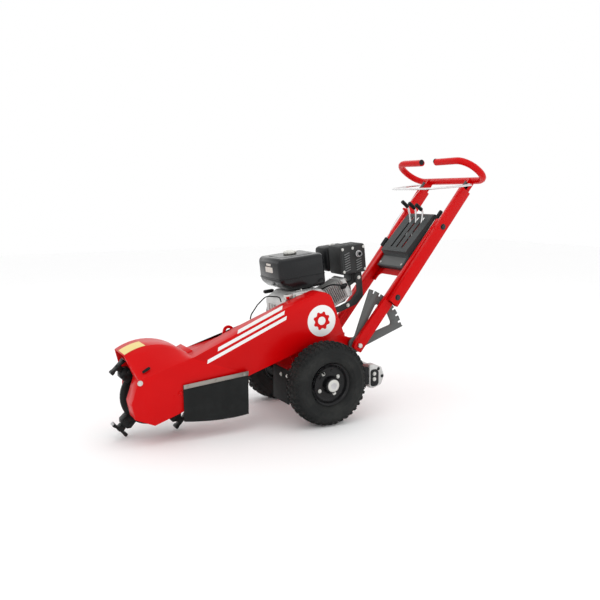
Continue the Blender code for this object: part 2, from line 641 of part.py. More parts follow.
def quadrant(mat):
    """Notched sector beside the left frame plate, its notches concentric with the handle pivot."""
    centre = (PIVOT_X, PIVOT_Z)

    def polar(radius, angle):
        return arc(centre, radius, angle, angle, 1)[0]

    half = math.degrees(0.0056 / QUADRANT_RADIUS)
    rim = [polar(QUADRANT_RADIUS + 0.006, 14.0), polar(QUADRANT_RADIUS, 16.0)]
    angle = RAIL_ANGLE - 4 * NOTCH_PITCH
    for _ in range(7):
        rim += [polar(QUADRANT_RADIUS, angle - half), polar(QUADRANT_RADIUS - NOTCH_DEPTH, angle - half),
                polar(QUADRANT_RADIUS - NOTCH_DEPTH, angle + half), polar(QUADRANT_RADIUS, angle + half)]
        angle += NOTCH_PITCH
    rim += [polar(QUADRANT_RADIUS, 74.0)]
    outline = rim + [polar(0.034, 100.0)] + arc(centre, 0.034, 130.0, 320.0, 8) + [polar(0.050, 350.0)]
    window = rounded([polar(0.075, 30.0), polar(0.190, 22.0), polar(0.196, 40.0), polar(0.190, 60.0),
                      polar(0.085, 60.0)], 0.010, 3)
    plate("lock_quadrant", outline, QUADRANT_Y - 0.004, QUADRANT_Y + 0.004, mat,
          holes=[circle(centre, 0.010 + GAP), window])


def tyre_brakes(alloy, black, red):
    """Cast brake behind each tyre: a fixed bracket and a block that slides forward on to the tread."""
    for side, name in ((-1, "left"), (1, "right")):
        z = TYRE_RADIUS
        plate_y = sorted((side * 0.176, side * 0.206))
        body = rounded([(0.226, z - 0.052), (0.262, z - 0.040), (0.276, z - 0.004), (0.262, z + 0.032),
                        (0.226, z + 0.048), (0.206, z + 0.046), (0.206, z - 0.050)], 0.006, 2)
        bracket = to_mesh(plate(f"{name}_brake_bracket", body, *plate_y, alloy))
        arm = sorted((side * 0.0883 if side < 0 else side * 0.0455, side * 0.180))
        arm = box(f"{name}_brake_arm", (0.210, arm[0], z + 0.010), (0.232, arm[1], z + 0.040), red)
        boolean(bracket, arm, "UNION")
        block = sorted((side * 0.178, side * 0.204))
        slide = frame_at(f"{name}_brake_slide", (0.1835, 0, z))
        box(f"{name}_brake_block", (0.0, block[0], -0.036), (0.022, block[1], 0.036), black, slide,
            bevel=0.003)


# ---------------------------------------------------------------- assembly

def build():
    red = material("red_paint", (0.62, 0.004, 0.010), 0.35)
    steel = material("bright_steel", (0.55, 0.55, 0.56), 0.35, 0.9)
    zinc = material("zinc_plate", (0.62, 0.62, 0.60), 0.35, 0.85)
    silver = material("silver_rod", (0.72, 0.72, 0.72), 0.30, 0.9)
    alloy = material("cast_alloy", (0.46, 0.46, 0.46), 0.55, 0.7)
    black = material("black_plastic", (0.020, 0.022, 0.023), 0.50)
    cutter_black = material("cutter_black", (0.022, 0.024, 0.024), 0.45, 0.4)
    shroud = material("muffler_grey", (0.045, 0.050, 0.050), 0.60, 0.3)
    tank_black = material("tank_black", (0.012, 0.013, 0.015), 0.22)
    console_grey = material("console_grey", (0.060, 0.068, 0.070), 0.60)
    quadrant_grey = material("quadrant_grey", (0.10, 0.105, 0.104), 0.55, 0.3)
    strip_grey = material("strip_grey", (0.24, 0.22, 0.20), 0.50, 0.4)
    rubber = material("rubber_sheet", (0.020, 0.022, 0.022), 0.80)
    tyre_rubber = material("tyre_rubber", (0.030, 0.030, 0.030), 0.85)
    rim_black = material("rim_black", (0.012, 0.012, 0.012), 0.40)

    chassis(red, steel, zinc)
    belt_guard(red)
    cutter_hood(red)
    chip_guards(rubber, strip_grey)
    cutter_wheel(cutter_black, steel, cutter_black)
    drive_belt(rubber)
    crank(steel)
    for side in (-1, 1):
        wheel(side, tyre_rubber, rim_black)
    engine(alloy, black, shroud, tank_black, zinc, rubber)
    quadrant(quadrant_grey)
    tyre_brakes(alloy, black, red)
    handle(red, steel, console_grey, black, zinc, silver)
    for obj in list(PARTS.objects) + list(CUTTERS.objects):
        if obj.parent is None:
            obj.location.x += AXLE_X


clear_scene()
PARTS = collection(COLLECTION)
CUTTERS = collection("cutters")
build()
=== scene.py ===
"""Looks of the pedestrian stump grinder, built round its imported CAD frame.

Metres, +Z up, in the frame's own axes: -X is the cutter end, +X the handle end, -Y the belt side.
"""
import json
import math

import bmesh
import bpy
from mathutils import Matrix, Vector

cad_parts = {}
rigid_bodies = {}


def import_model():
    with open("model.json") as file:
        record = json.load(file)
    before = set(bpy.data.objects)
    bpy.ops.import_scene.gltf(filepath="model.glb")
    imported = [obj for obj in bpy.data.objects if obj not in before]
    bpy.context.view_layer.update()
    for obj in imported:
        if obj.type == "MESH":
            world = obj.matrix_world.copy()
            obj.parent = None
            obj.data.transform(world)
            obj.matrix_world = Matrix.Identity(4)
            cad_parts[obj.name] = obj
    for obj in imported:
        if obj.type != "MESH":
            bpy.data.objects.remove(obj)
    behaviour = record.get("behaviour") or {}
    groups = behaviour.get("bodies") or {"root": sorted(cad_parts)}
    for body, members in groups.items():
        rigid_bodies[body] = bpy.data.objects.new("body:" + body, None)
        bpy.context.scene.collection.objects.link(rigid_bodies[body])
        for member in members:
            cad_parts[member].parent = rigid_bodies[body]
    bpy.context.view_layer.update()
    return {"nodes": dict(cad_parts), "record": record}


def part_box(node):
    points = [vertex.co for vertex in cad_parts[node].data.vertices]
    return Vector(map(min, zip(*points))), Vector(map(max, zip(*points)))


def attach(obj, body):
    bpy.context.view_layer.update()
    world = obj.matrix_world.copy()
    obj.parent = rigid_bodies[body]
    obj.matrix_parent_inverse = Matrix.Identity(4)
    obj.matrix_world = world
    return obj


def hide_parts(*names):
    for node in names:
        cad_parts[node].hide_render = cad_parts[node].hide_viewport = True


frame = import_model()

shift = Matrix.Translation

# Reference places, read from the frame
def middle(node):
    low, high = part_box(node)
    return (low + high) / 2


AXLE_AT = middle("axle")
CRANK_AT = middle("crankshaft")
CUTTER_AT = middle("cutter_disc")
PIVOT_AT = middle("handle_pivot_shaft")
GUARD_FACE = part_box("belt_guard")[0].y
ENGINE_TILT = math.radians(6.0)
RAIL_ANGLE = math.radians(51.9)
ENGINE = shift((CRANK_AT.x, 0, CRANK_AT.z)) @ Matrix.Rotation(-ENGINE_TILT, 4, "Y")
HANDLE = shift((PIVOT_AT.x, 0, PIVOT_AT.z)) @ Matrix.Rotation(-RAIL_ANGLE, 4, "Y")
BARREL = ENGINE @ shift((0.078, 0, 0.04)) @ Matrix.Rotation(-math.radians(22), 4, "Y")
HERE = shift((AXLE_AT.x, 0, 0))       # side-view positions are given from the axle

NODE_BODY = {name: obj.parent.name.split(":", 1)[1] for name, obj in frame["nodes"].items()}


# ---------------------------------------------------------------- materials

class Surface:
    """A Principled material whose colour, roughness and bump come from noise in object space."""

    def __init__(self, name, colour, roughness, metallic=0.0, coat=0.0):
        self.made = bpy.data.materials.new(name)
        self.made.use_nodes = True
        self.tree = self.made.node_tree
        self.shader = self.tree.nodes["Principled BSDF"]
        self.shader.inputs["Base Color"].default_value = (*colour, 1.0)
        self.shader.inputs["Roughness"].default_value = roughness
        self.shader.inputs["Metallic"].default_value = metallic
        self.shader.inputs["Specular IOR Level"].default_value = 0.22
        if coat:
            self.shader.inputs["Coat Weight"].default_value = coat
            self.shader.inputs["Coat Roughness"].default_value = 0.08
        self.colour, self.roughness = colour, roughness
        self.height = None
        self.place = self.tree.nodes.new("ShaderNodeTexCoord").outputs["Object"]

    def node(self, kind, **values):
        made = self.tree.nodes.new(kind)
        for key, value in values.items():
            setattr(made, key, value)
        return made

    def join(self, out, into):
        self.tree.links.new(out, into)

    def stretched(self, scale):
        mapping = self.node("ShaderNodeMapping")
        mapping.inputs["Scale"].default_value = scale
        self.join(self.place, mapping.inputs["Vector"])
        return mapping.outputs["Vector"]

    def noise(self, scale, detail=4.0, rough=0.55, stretch=None):
        made = self.node("ShaderNodeTexNoise")
        made.inputs["Scale"].default_value = scale
        made.inputs["Detail"].default_value = detail
        made.inputs["Roughness"].default_value = rough
        self.join(self.stretched(stretch) if stretch else self.place, made.inputs["Vector"])
        return made.outputs["Fac"]

    def ramp(self, out, low, high):
        """Stretches the part of a 0..1 value between low and high to the full range."""
        made = self.node("ShaderNodeMapRange")
        made.inputs["From Min"].default_value = low
        made.inputs["From Max"].default_value = high
        self.join(out, made.inputs["Value"])
        return made.outputs["Result"]

    def tint(self, mask, colour, amount=1.0):
        """Mixes the colour so far with another one where the mask is high."""
        made = self.node("ShaderNodeMix", data_type="RGBA")
        scaled = self.node("ShaderNodeMath", operation="MULTIPLY")
        scaled.inputs[1].default_value = amount
        self.join(mask, scaled.inputs[0])
        self.join(scaled.outputs[0], made.inputs[0])
        socket = self.shader.inputs["Base Color"]
        if socket.is_linked:
            self.join(socket.links[0].from_socket, made.inputs[6])
        else:
            made.inputs[6].default_value = (*self.colour, 1.0)
        made.inputs[7].default_value = (*colour, 1.0)
        self.join(made.outputs[2], socket)
        return self

    def polish(self, mask, low, high):
        """Roughness runs from low to high with the mask."""
        made = self.node("ShaderNodeMapRange")
        made.inputs["To Min"].default_value = low
        made.inputs["To Max"].default_value = high
        self.join(mask, made.inputs["Value"])
        self.join(made.outputs["Result"], self.shader.inputs["Roughness"])
        return self

    def bump(self, out, distance, strength=1.0):
        """Adds a bump layer; distance is the real height in metres."""
        made = self.node("ShaderNodeBump")
        made.inputs["Distance"].default_value = distance
        made.inputs["Strength"].default_value = strength
        self.join(out, made.inputs["Height"])
        if self.height is not None:
            self.join(self.height, made.inputs["Normal"])
        self.height = made.outputs["Normal"]
        self.join(self.height, self.shader.inputs["Normal"])
        return self


def powder_coat(name, colour, roughness, dark, coat=0.25, specular=0.22):
    """Glossy powder coat: soft orange peel and slight thickness variation."""
    s = Surface(name, colour, roughness, 0.0, coat)
    s.shader.inputs["Specular IOR Level"].default_value = specular
    s.tint(s.ramp(s.noise(5.0, 3.0), 0.35, 0.75), dark, 0.35)
    s.tint(s.ramp(s.noise(60.0, 5.0), 0.62, 0.8), tuple(min(1.0, c * 1.15 + 0.01) for c in colour), 0.25)
    s.polish(s.noise(26.0, 3.0), roughness - 0.07, roughness + 0.1)
    s.bump(s.noise(420.0, 2.0), 0.00012, 0.35)
    s.bump(s.noise(60.0, 2.0), 0.0004, 0.12)
    return s.made


def machined(name, colour, roughness, stretch=(1, 1, 1), stain=(0.2, 0.19, 0.18)):
    """Bare or plated steel with fine lines along one axis and light staining."""
    s = Surface(name, colour, roughness, 0.92)
    lines = s.noise(700.0, 3.0, 0.6, stretch)
    s.tint(s.ramp(s.noise(35.0, 5.0), 0.5, 0.78), stain, 0.35)
    s.tint(s.ramp(lines, 0.45, 0.75), tuple(c * 0.72 for c in colour), 0.4)
    s.polish(s.noise(50.0, 4.0), roughness - 0.08, roughness + 0.16)
    s.bump(lines, 0.00006, 0.35)
    return s.made


def cast_metal(name, colour, roughness, metallic=0.75, pit=0.0004):
    """Die-cast alloy: sandy skin, darker in its pits."""
    s = Surface(name, colour, roughness, metallic)
    grit = s.noise(520.0, 4.0, 0.65)
    s.tint(s.ramp(s.noise(22.0, 4.0), 0.42, 0.72), tuple(c * 0.62 for c in colour), 0.5)
    s.tint(s.ramp(grit, 0.56, 0.72), tuple(c * 0.5 for c in colour), 0.5)
    s.polish(s.noise(90.0, 3.0), roughness - 0.06, roughness + 0.14)
    s.bump(grit, pit, 0.5)
    return s.made


def moulded(name, colour, roughness, grain=900.0, depth=0.00015, pale=(0.032, 0.034, 0.036)):
    """Moulded plastic: fine spark-eroded grain, slightly paler where it was handled."""
    s = Surface(name, colour, roughness)
    skin = s.node("ShaderNodeTexVoronoi")
    skin.inputs["Scale"].default_value = grain
    s.join(s.place, skin.inputs["Vector"])
    s.tint(s.ramp(s.noise(18.0, 4.0), 0.48, 0.8), pale, 0.45)
    s.polish(s.noise(40.0, 3.0), roughness - 0.06, roughness + 0.1)
    s.bump(skin.outputs["Distance"], depth, 0.5)
    return s.made


def rubbery(name, colour, dust, roughness=0.78, grain=650.0):
    """Rubber: matt, faintly dusty, with a fine calendered grain."""
    s = Surface(name, colour, roughness)
    fine = s.noise(grain, 4.0, 0.7)
    s.tint(s.ramp(s.noise(14.0, 6.0, 0.65), 0.46, 0.74), dust, 0.6)
    s.tint(s.ramp(fine, 0.6, 0.8), dust, 0.5)
    s.polish(s.noise(30.0, 4.0), roughness - 0.1, roughness + 0.1)
    s.bump(fine, 0.0003, 0.45)
    return s.made


RED = (0.61, 0.0005, 0.0015)
MAT = {
    "red_paint": powder_coat("red_paint_look", RED, 0.3, (0.47, 0.001, 0.002), 0.03, 0.12),
    "bright_steel": machined("machined_steel_look", (0.56, 0.56, 0.57), 0.34, (1, 12, 1)),
    "zinc_plate": machined("zinc_plate_look", (0.66, 0.66, 0.63), 0.32, (1, 8, 1), (0.32, 0.3, 0.24)),
    "silver_rod": machined("drawn_wire_look", (0.74, 0.74, 0.74), 0.24, (6, 1, 6), (0.4, 0.4, 0.4)),
    "cast_alloy": cast_metal("cast_alloy_look", (0.6, 0.6, 0.59), 0.4, 0.6),
    "black_plastic": moulded("black_plastic_look", (0.01, 0.011, 0.012), 0.48),
    "cutter_black": cast_metal("cutter_enamel_look", (0.012, 0.013, 0.013), 0.42, 0.2, 0.0006),
    "muffler_grey": cast_metal("muffler_look", (0.036, 0.038, 0.038), 0.52, 0.2, 0.00025),
    "tank_black": powder_coat("tank_enamel_look", (0.007, 0.008, 0.009), 0.22, (0.012, 0.013, 0.015), 0.18),
    "console_grey": powder_coat("console_paint_look", (0.044, 0.05, 0.051), 0.5, (0.034, 0.038, 0.039),
                                0.0),
    "quadrant_grey": powder_coat("quadrant_paint_look", (0.115, 0.12, 0.118), 0.48,
                                 (0.08, 0.084, 0.083), 0.0),
    "strip_grey": machined("clamp_strip_look", (0.34, 0.32, 0.29), 0.46, (1, 1, 14)),
    "rubber_sheet": rubbery("sheet_rubber_look", (0.009, 0.01, 0.01), (0.02, 0.022, 0.022)),
    "tyre_rubber": rubbery("tyre_rubber_look", (0.012, 0.013, 0.013), (0.04, 0.041, 0.038), 0.74, 420.0),
    "rim_black": powder_coat("rim_enamel_look", (0.005, 0.005, 0.006), 0.26, (0.009, 0.009, 0.009), 0.1),
}
# Black oxide for the dark bolts; the same material colours the block inside the barrel fins, where it is
# painted shade.
DARK_BOLT_AND_FIN_SHADE = machined("black_oxide_look", (0.055, 0.055, 0.058), 0.4)
WHITE_FILM = powder_coat("white_film_look", (0.86, 0.86, 0.85), 0.34, (0.78, 0.78, 0.77), 0.0)
PALE_FILM = powder_coat("pale_label_look", (0.62, 0.6, 0.55), 0.42, (0.5, 0.49, 0.46), 0.0)
YELLOW_FILM = powder_coat("yellow_film_look", (0.82, 0.66, 0.24), 0.38, (0.74, 0.57, 0.17), 0.0)
# Near-black material painted as the shade inside slots, louvre openings and vent holes.
PAINTED_SHADE_BLACK = moulded("shadow_black_look", (0.006, 0.006, 0.006), 0.7)
# Paler grey than the muffler guard for the louvre lips: a painted highlight where they catch the light.
LOUVRE_HIGHLIGHT_GREY = cast_metal("louvre_look", (0.16, 0.165, 0.165), 0.5, 0.3, 0.00025)
SLOT_OF = {row["node"]: row["material_slot"] for row in frame["record"]["subparts"]}


# ---------------------------------------------------------------- shape helpers

def turn_to(at, direction, spin=0.0):
    """A matrix at a place whose +Z points along direction."""
    quat = Vector(direction).normalized().to_track_quat("Z", "Y")
    return shift(at) @ quat.to_matrix().to_4x4() @ Matrix.Rotation(spin, 4, "Z")


def piece(name, shape, look, body, slot=None, bevel=0.0, segments=2, crease=32.0, merge=0.00001, sheet=0.0):
    """Makes a finished object of a bmesh, lets it ride on a body and gives it soft edges."""
    bmesh.ops.remove_doubles(shape, verts=shape.verts, dist=merge)
    bmesh.ops.recalc_face_normals(shape, faces=shape.faces)
    mesh = bpy.data.meshes.new(name)
    shape.to_mesh(mesh)
    shape.free()
    mesh.materials.append(look if not isinstance(look, str) else MAT[look])
    obj = bpy.data.objects.new(name, mesh)
    bpy.context.scene.collection.objects.link(obj)
    soften(obj, bevel, segments, crease, sheet)
    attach(obj, body)
    if slot or isinstance(look, str):
        slot or look
    return obj


def soften(obj, bevel, segments=2, crease=32.0, sheet=0.0):
    """Sheet thickness inwards, rounded edges and clean shading, applied to the mesh."""
    if sheet:
        solid = obj.modifiers.new("sheet", "SOLIDIFY")
        solid.thickness = sheet
        solid.offset = -1.0
        solid.use_even_offset = True
    if bevel:
        edges = obj.modifiers.new("edges", "BEVEL")
        edges.width = bevel
        edges.segments = segments
        edges.limit_method = "ANGLE"
        edges.angle_limit = math.radians(crease)
        edges.use_clamp_overlap = True
        edges.harden_normals = True
    bpy.context.view_layer.update()
    mesh = bpy.data.meshes.new_from_object(obj.evaluated_get(bpy.context.evaluated_depsgraph_get()))
    obj.modifiers.clear()
    obj.data = mesh
    mesh.shade_smooth()
    if not bevel:
        mesh.set_sharp_from_angle(angle=math.radians(crease))
    return obj


def block(shape, low, high, place=Matrix()):
    low, high = Vector(low), Vector(high)
    made = bmesh.ops.create_cube(shape, size=1.0)["verts"]
    bmesh.ops.scale(shape, vec=high - low, verts=made)
    bmesh.ops.translate(shape, vec=(low + high) / 2, verts=made)
    bmesh.ops.transform(shape, matrix=place, verts=made)
    return made


def bar(shape, radius, length, place, sides=24, end=None):
    """A cylinder from the place's origin along its +Z."""
    made = bmesh.ops.create_cone(shape, cap_ends=True, segments=sides, radius1=radius,
                                 radius2=radius if end is None else end, depth=length)["verts"]
    bmesh.ops.transform(shape, matrix=place @ shift((0, 0, length / 2)), verts=made)
    return made


def lathe(shape, profile, place, steps=32):
    """A body of revolution about the place's +Z from (radius, height) points; ends on the axis are closed."""
    rings = []
    for r, h in profile:
        if r < 1e-6:
            rings.append([shape.verts.new(place @ Vector((0, 0, h)))] * steps)
        else:
            rings.append([shape.verts.new(place @ Vector((r * math.cos(2 * math.pi * k / steps),
                                                          r * math.sin(2 * math.pi * k / steps), h)))
                          for k in range(steps)])
    for lower, upper in zip(rings, rings[1:]):
        for k in range(steps):
            corners = []
            for v in (lower[k], lower[(k + 1) % steps], upper[(k + 1) % steps], upper[k]):
                if v not in corners:
                    corners.append(v)
            if len(corners) > 2:
                shape.faces.new(corners)
    return rings


def extruded(shape, outline, depth, place=Matrix()):
    """A flat outline (x, y) given thickness along the place's +Z."""
    low = [shape.verts.new(place @ Vector((x, y, 0))) for x, y in outline]
    high = [shape.verts.new(place @ Vector((x, y, depth))) for x, y in outline]
    shape.faces.new(low[::-1])
    shape.faces.new(high)
    for i in range(len(outline)):
        j = (i + 1) % len(outline)
        shape.faces.new([low[i], low[j], high[j], high[i]])


SIDE = Matrix.Rotation(math.pi / 2, 4, "X")        # outline (x, z) lies in the side view, depth runs to -Y


def arc(centre, radius, start, end, steps):
    angles = [math.radians(start + (end - start) * i / steps) for i in range(steps + 1)]
    return [(centre[0] + radius * math.cos(a), centre[1] + radius * math.sin(a)) for a in angles]


def smooth_path(points, per_span=8):
    """A Catmull-Rom line through the points."""
    p = [Vector(q) for q in points]
    p = [2 * p[0] - p[1], *p, 2 * p[-1] - p[-2]]
    made = []
    for a, b, c, d in zip(p, p[1:], p[2:], p[3:]):
        for k in range(per_span):
            t = k / per_span
            made.append(0.5 * (2 * b + (c - a) * t + (2 * a - 5 * b + 4 * c - d) * t * t
                               + (3 * b - a - 3 * c + d) * t ** 3))
    return made + [p[-2]]


def sweep(shape, path, radius, sides=10):
    """A round tube along a path, with closed ends."""
    rings, side = [], None
    for i, here in enumerate(path):
        ahead = (path[min(i + 1, len(path) - 1)] - path[max(i - 1, 0)]).normalized()
        side = ahead.orthogonal() if side is None else side - ahead * side.dot(ahead)
        side.normalize()
        up = ahead.cross(side)
        rings.append([shape.verts.new(here + (side * math.cos(a) + up * math.sin(a)) * radius)
                      for a in (2 * math.pi * k / sides for k in range(sides))])
    for lower, upper in zip(rings, rings[1:]):
        for k in range(sides):
            shape.faces.new([lower[k], lower[(k + 1) % sides], upper[(k + 1) % sides], upper[k]])
    shape.faces.new(rings[0][::-1])
    shape.faces.new(rings[-1])


def hex_bolt(shape, at, direction, size=0.0065, height=0.005, washer=True):
    """A hexagon head with a chamfered crown on its washer; size is half its width over flats."""
    place = turn_to(at, direction, 0.3)
    if washer:
        lathe(shape, [(0, 0), (size * 1.55, 0), (size * 1.6, 0.0004), (size * 1.55, 0.0014), (0, 0.0014)],
              place, 20)
    base = place @ shift((0, 0, 0.0012))
    bar(shape, size * 1.15, height * 0.8, base, 6)
    bar(shape, size * 1.12, height * 0.2, base @ shift((0, 0, height * 0.8)), 6, size * 0.92)
    lathe(shape, [(size * 0.55, height), (size * 0.5, height + 0.0003), (0, height + 0.0003)], base, 12)


def bolts(name, places, direction, look, body, size=0.0065, height=0.005):
    shape = bmesh.new()
    for at in places:
        hex_bolt(shape, at, direction, size, height)
    return piece(name, shape, look, body, slot=None if isinstance(look, str) else "bright_steel", crease=25)


def refined(node, bevel, segments=2, crease=32.0, look=None, name=None):
    """The CAD node's own shape with rounded edges and smooth curves, standing in for it."""
    shape = bmesh.new()
    shape.from_mesh(frame["nodes"][node].data)
    bmesh.ops.remove_doubles(shape, verts=shape.verts, dist=0.00002)
    bmesh.ops.dissolve_limit(shape, angle_limit=math.radians(1.0), verts=shape.verts, edges=shape.edges)
    slot = SLOT_OF[node]
    made = piece(name or f"{node}_skin", shape, look or slot, NODE_BODY[node], slot, bevel, segments,
                 crease)
    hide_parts(node)
    return made


def at_engine(x, y, z):
    return ENGINE @ Vector((x, y, z))


def side_at(x, z, y):
    """A point given from the axle in the side view."""
    return HERE @ Vector((x, y, z))


# ---------------------------------------------------------------- camera, lights, floor

def stage():
    camera = bpy.data.objects.new("camera", bpy.data.cameras.new("camera"))
    camera.data.lens = 44.26
    camera.data.sensor_width = 36.0
    camera.location = (-1.3656, -2.6502, 0.8883)
    camera.rotation_euler = (math.radians(90 - 8.123), 0.0, -math.radians(27.416))
    bpy.context.scene.collection.objects.link(camera)
    bpy.context.scene.camera = camera

    shape = bmesh.new()
    bmesh.ops.create_grid(shape, x_segments=1, y_segments=1, size=9.0)
    mesh = bpy.data.meshes.new("floor")
    shape.to_mesh(mesh)
    shape.free()
    floor = bpy.data.objects.new("floor", mesh)
    floor.location.z = -0.0006
    pale = bpy.data.materials.new("studio_floor")
    pale.use_nodes = True
    pale.node_tree.nodes["Principled BSDF"].inputs["Base Color"].default_value = (0.98, 0.98, 0.98, 1)
    pale.node_tree.nodes["Principled BSDF"].inputs["Roughness"].default_value = 0.75
    mesh.materials.append(pale)
    bpy.context.scene.collection.objects.link(floor)

    world = bpy.data.worlds.new("studio")
    world.use_nodes = True
    world.node_tree.nodes["Background"].inputs["Color"].default_value = (1.0, 1.0, 1.0, 1)
    world.node_tree.nodes["Background"].inputs["Strength"].default_value = 1.0
    bpy.context.scene.world = world
    for name, at, energy, size in (("key", (-2.6, -2.6, 3.0), 15, 2.0), ("fill", (2.8, -3.0, 1.8), 5, 2.6),
                                   ("rim", (1.2, 3.0, 2.8), 10, 2.4), ("top", (-0.1, -0.3, 3.6), 10, 2.6)):
        lamp = bpy.data.lights.new(name, "AREA")
        lamp.energy = energy
        lamp.size = size
        obj = bpy.data.objects.new(name, lamp)
        obj.location = at
        obj.rotation_euler = (Vector((0, 0, 0.4)) - Vector(at)).to_track_quat("-Z", "Y").to_euler()
        bpy.context.scene.collection.objects.link(obj)
    bpy.context.scene.view_settings.view_transform = "Standard"


# ---------------------------------------------------------------- arm, hood and guards

def sheet_metal():
    """Bent sheet and frame parts, each with its own edge radius."""
    for node in ("cutter_hood", "arm_top_plate"):
        refined(node, 0.0022, 3, 26.0)
    for node in ("left_frame_plate", "right_frame_plate", "lifting_eye", "lock_quadrant", "engine_deck",
                 "rear_cross_tube", "flap_clamp_strip"):
        refined(node, 0.0009, 2)
    for node in ("left_brake_bracket", "right_brake_bracket"):
        refined(node, 0.0018, 2, 25.0)


TOP_EDGE = [(-0.521, 0.306), (-0.339, 0.384), (-0.14, 0.463), (-0.006, 0.51), (0.01, 0.5125),
            (0.026, 0.51), (0.041, 0.502), (0.052, 0.492)]
REAR_EDGE = [(0.109, 0.343), (-0.074, 0.292), (-0.295, 0.218)]
NOSE_EDGE = [(-0.554, 0.114), (-0.66, 0.0765), (-0.668, 0.074), (-0.676, 0.0775), (-0.737, 0.104),
             (-0.749, 0.162), (-0.721, 0.245)]
HOOD_CENTRE, HOOD_RADIUS = (-0.644, 0.146), 0.207
HOOD_FRONT, HOOD_REAR = 122.0, 52.0


def guard_skin():
    """Belt guard: flat face, rim all round and the panel leaning up to the hood, bent from one sheet."""
    shape = bmesh.new()
    rim_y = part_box("belt_guard")[1].y
    columns, rows = 28, 5
    start, end = Vector(NOSE_EDGE[-1]), Vector(TOP_EDGE[0])
    crease = [start.lerp(end, k / columns) for k in range(columns + 1)]
    roof = arc(HOOD_CENTRE, HOOD_RADIUS, HOOD_FRONT, HOOD_REAR, columns)

    def new(x, y, z):
        return shape.verts.new(side_at(x, z, y))

    panel = []
    for (x0, z0), (x1, z1) in zip(crease, roof):
        panel.append([new(x0 + (x1 - x0) * j / rows, GUARD_FACE + (rim_y - 0.005 - GUARD_FACE) * j / rows,
                          z0 + (z1 - z0) * j / rows) for j in range(rows + 1)])
    for a, b in zip(panel, panel[1:]):
        for j in range(rows):
            shape.faces.new([a[j], b[j], b[j + 1], a[j + 1]])
    outline = TOP_EDGE + REAR_EDGE + NOSE_EDGE
    front = [new(x, GUARD_FACE, z) for x, z in outline]
    back = [new(x, rim_y, z) for x, z in outline]
    shape.faces.new(front + [column[0] for column in panel[1:-1]])
    for i in range(len(outline) - 1):
        shape.faces.new([front[i], front[i + 1], back[i + 1], back[i]])
    shape.faces.new([front[-1], *panel[0][1:], back[-1]])
    shape.faces.new([front[0], *panel[-1][1:], back[0]])
    skin = piece("belt_guard_skin", shape, "red_paint", "chassis", None, 0.0022, 3, 20.0, 0.0001, 0.0025)
    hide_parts("belt_guard")


def guard_trim():
    """Round decal, stripes and bolts on the guard, and the hood's bearing bolts; none of it is lettering."""
    y = GUARD_FACE - 0.0001
    centre = (0.008, 0.4)
    disc, mark = bmesh.new(), bmesh.new()
    lathe(disc, [(0, 0), (0.062, 0), (0.0622, 0.0002), (0.062, 0.0004), (0, 0.0004)],
          turn_to(side_at(*centre, y), (0, -1, 0)), 64)
    piece("round_decal", disc, WHITE_FILM, "chassis", "red_paint", crease=60)
    cutter = []
    for k in range(32):
        a = 2 * math.pi * k / 32
        reach = 0.03 if k % 4 in (0, 1) else 0.037
        cutter.append((reach * math.cos(a), reach * math.sin(a)))
    place = turn_to(side_at(*centre, y - 0.0004), (0, -1, 0))
    extruded(mark, cutter, 0.0003, place)
    piece("round_decal_mark", mark, "red_paint", "chassis", crease=60)
    ring = bmesh.new()
    lathe(ring, [(0, 0), (0.0165, 0), (0.0165, 0.0003), (0, 0.0003)], place @ shift((0, 0, 0.0003)), 40)
    piece("round_decal_hub", ring, WHITE_FILM, "chassis", "red_paint", crease=60)
    stripes = bmesh.new()
    along = Vector((0.9185, 0, 0.3954))
    across = Vector((-0.3954, 0, 0.9185))
    start = side_at(-0.468, 0.278, y)
    for row, (first, last) in enumerate(((0.0, 0.35), (0.055, 0.35), (0.15, 0.35))):
        low = row * 0.0225
        corners = [start + along * a + across * b for a, b in
                   ((first, low), (last, low), (last + 0.008, low + 0.0125), (first + 0.008, low + 0.0125))]
        base = [stripes.verts.new(c) for c in corners]
        top = [stripes.verts.new(c - Vector((0, 0.0003, 0))) for c in corners]
        stripes.faces.new(top)
        for i in range(4):
            stripes.faces.new([base[i], base[(i + 1) % 4], top[(i + 1) % 4], top[i]])
        stripes.faces.new(base[::-1])
    piece("arm_stripes", stripes, WHITE_FILM, "chassis", "red_paint", crease=60)
    bolts("guard_nose_bolt", [side_at(-0.717, 0.235, GUARD_FACE)], (0, -1, 0), "zinc_plate", "chassis",
          0.0062, 0.0045)
    bolts("guard_lower_bolt", [side_at(-0.572, 0.181, GUARD_FACE)], (0, -1, 0), "red_paint", "chassis",
          0.0058, 0.004)
    bearing_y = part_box("cutter_bearing_right")[1].y - 0.0077
    circle = arc((CUTTER_AT.x, CUTTER_AT.z), 0.031, 45, 315, 3)
    bolts("hood_bearing_bolts", [(x, bearing_y, z) for x, z in circle], (0, 1, 0), DARK_BOLT_AND_FIN_SHADE, "chassis",
          0.0042, 0.0036)


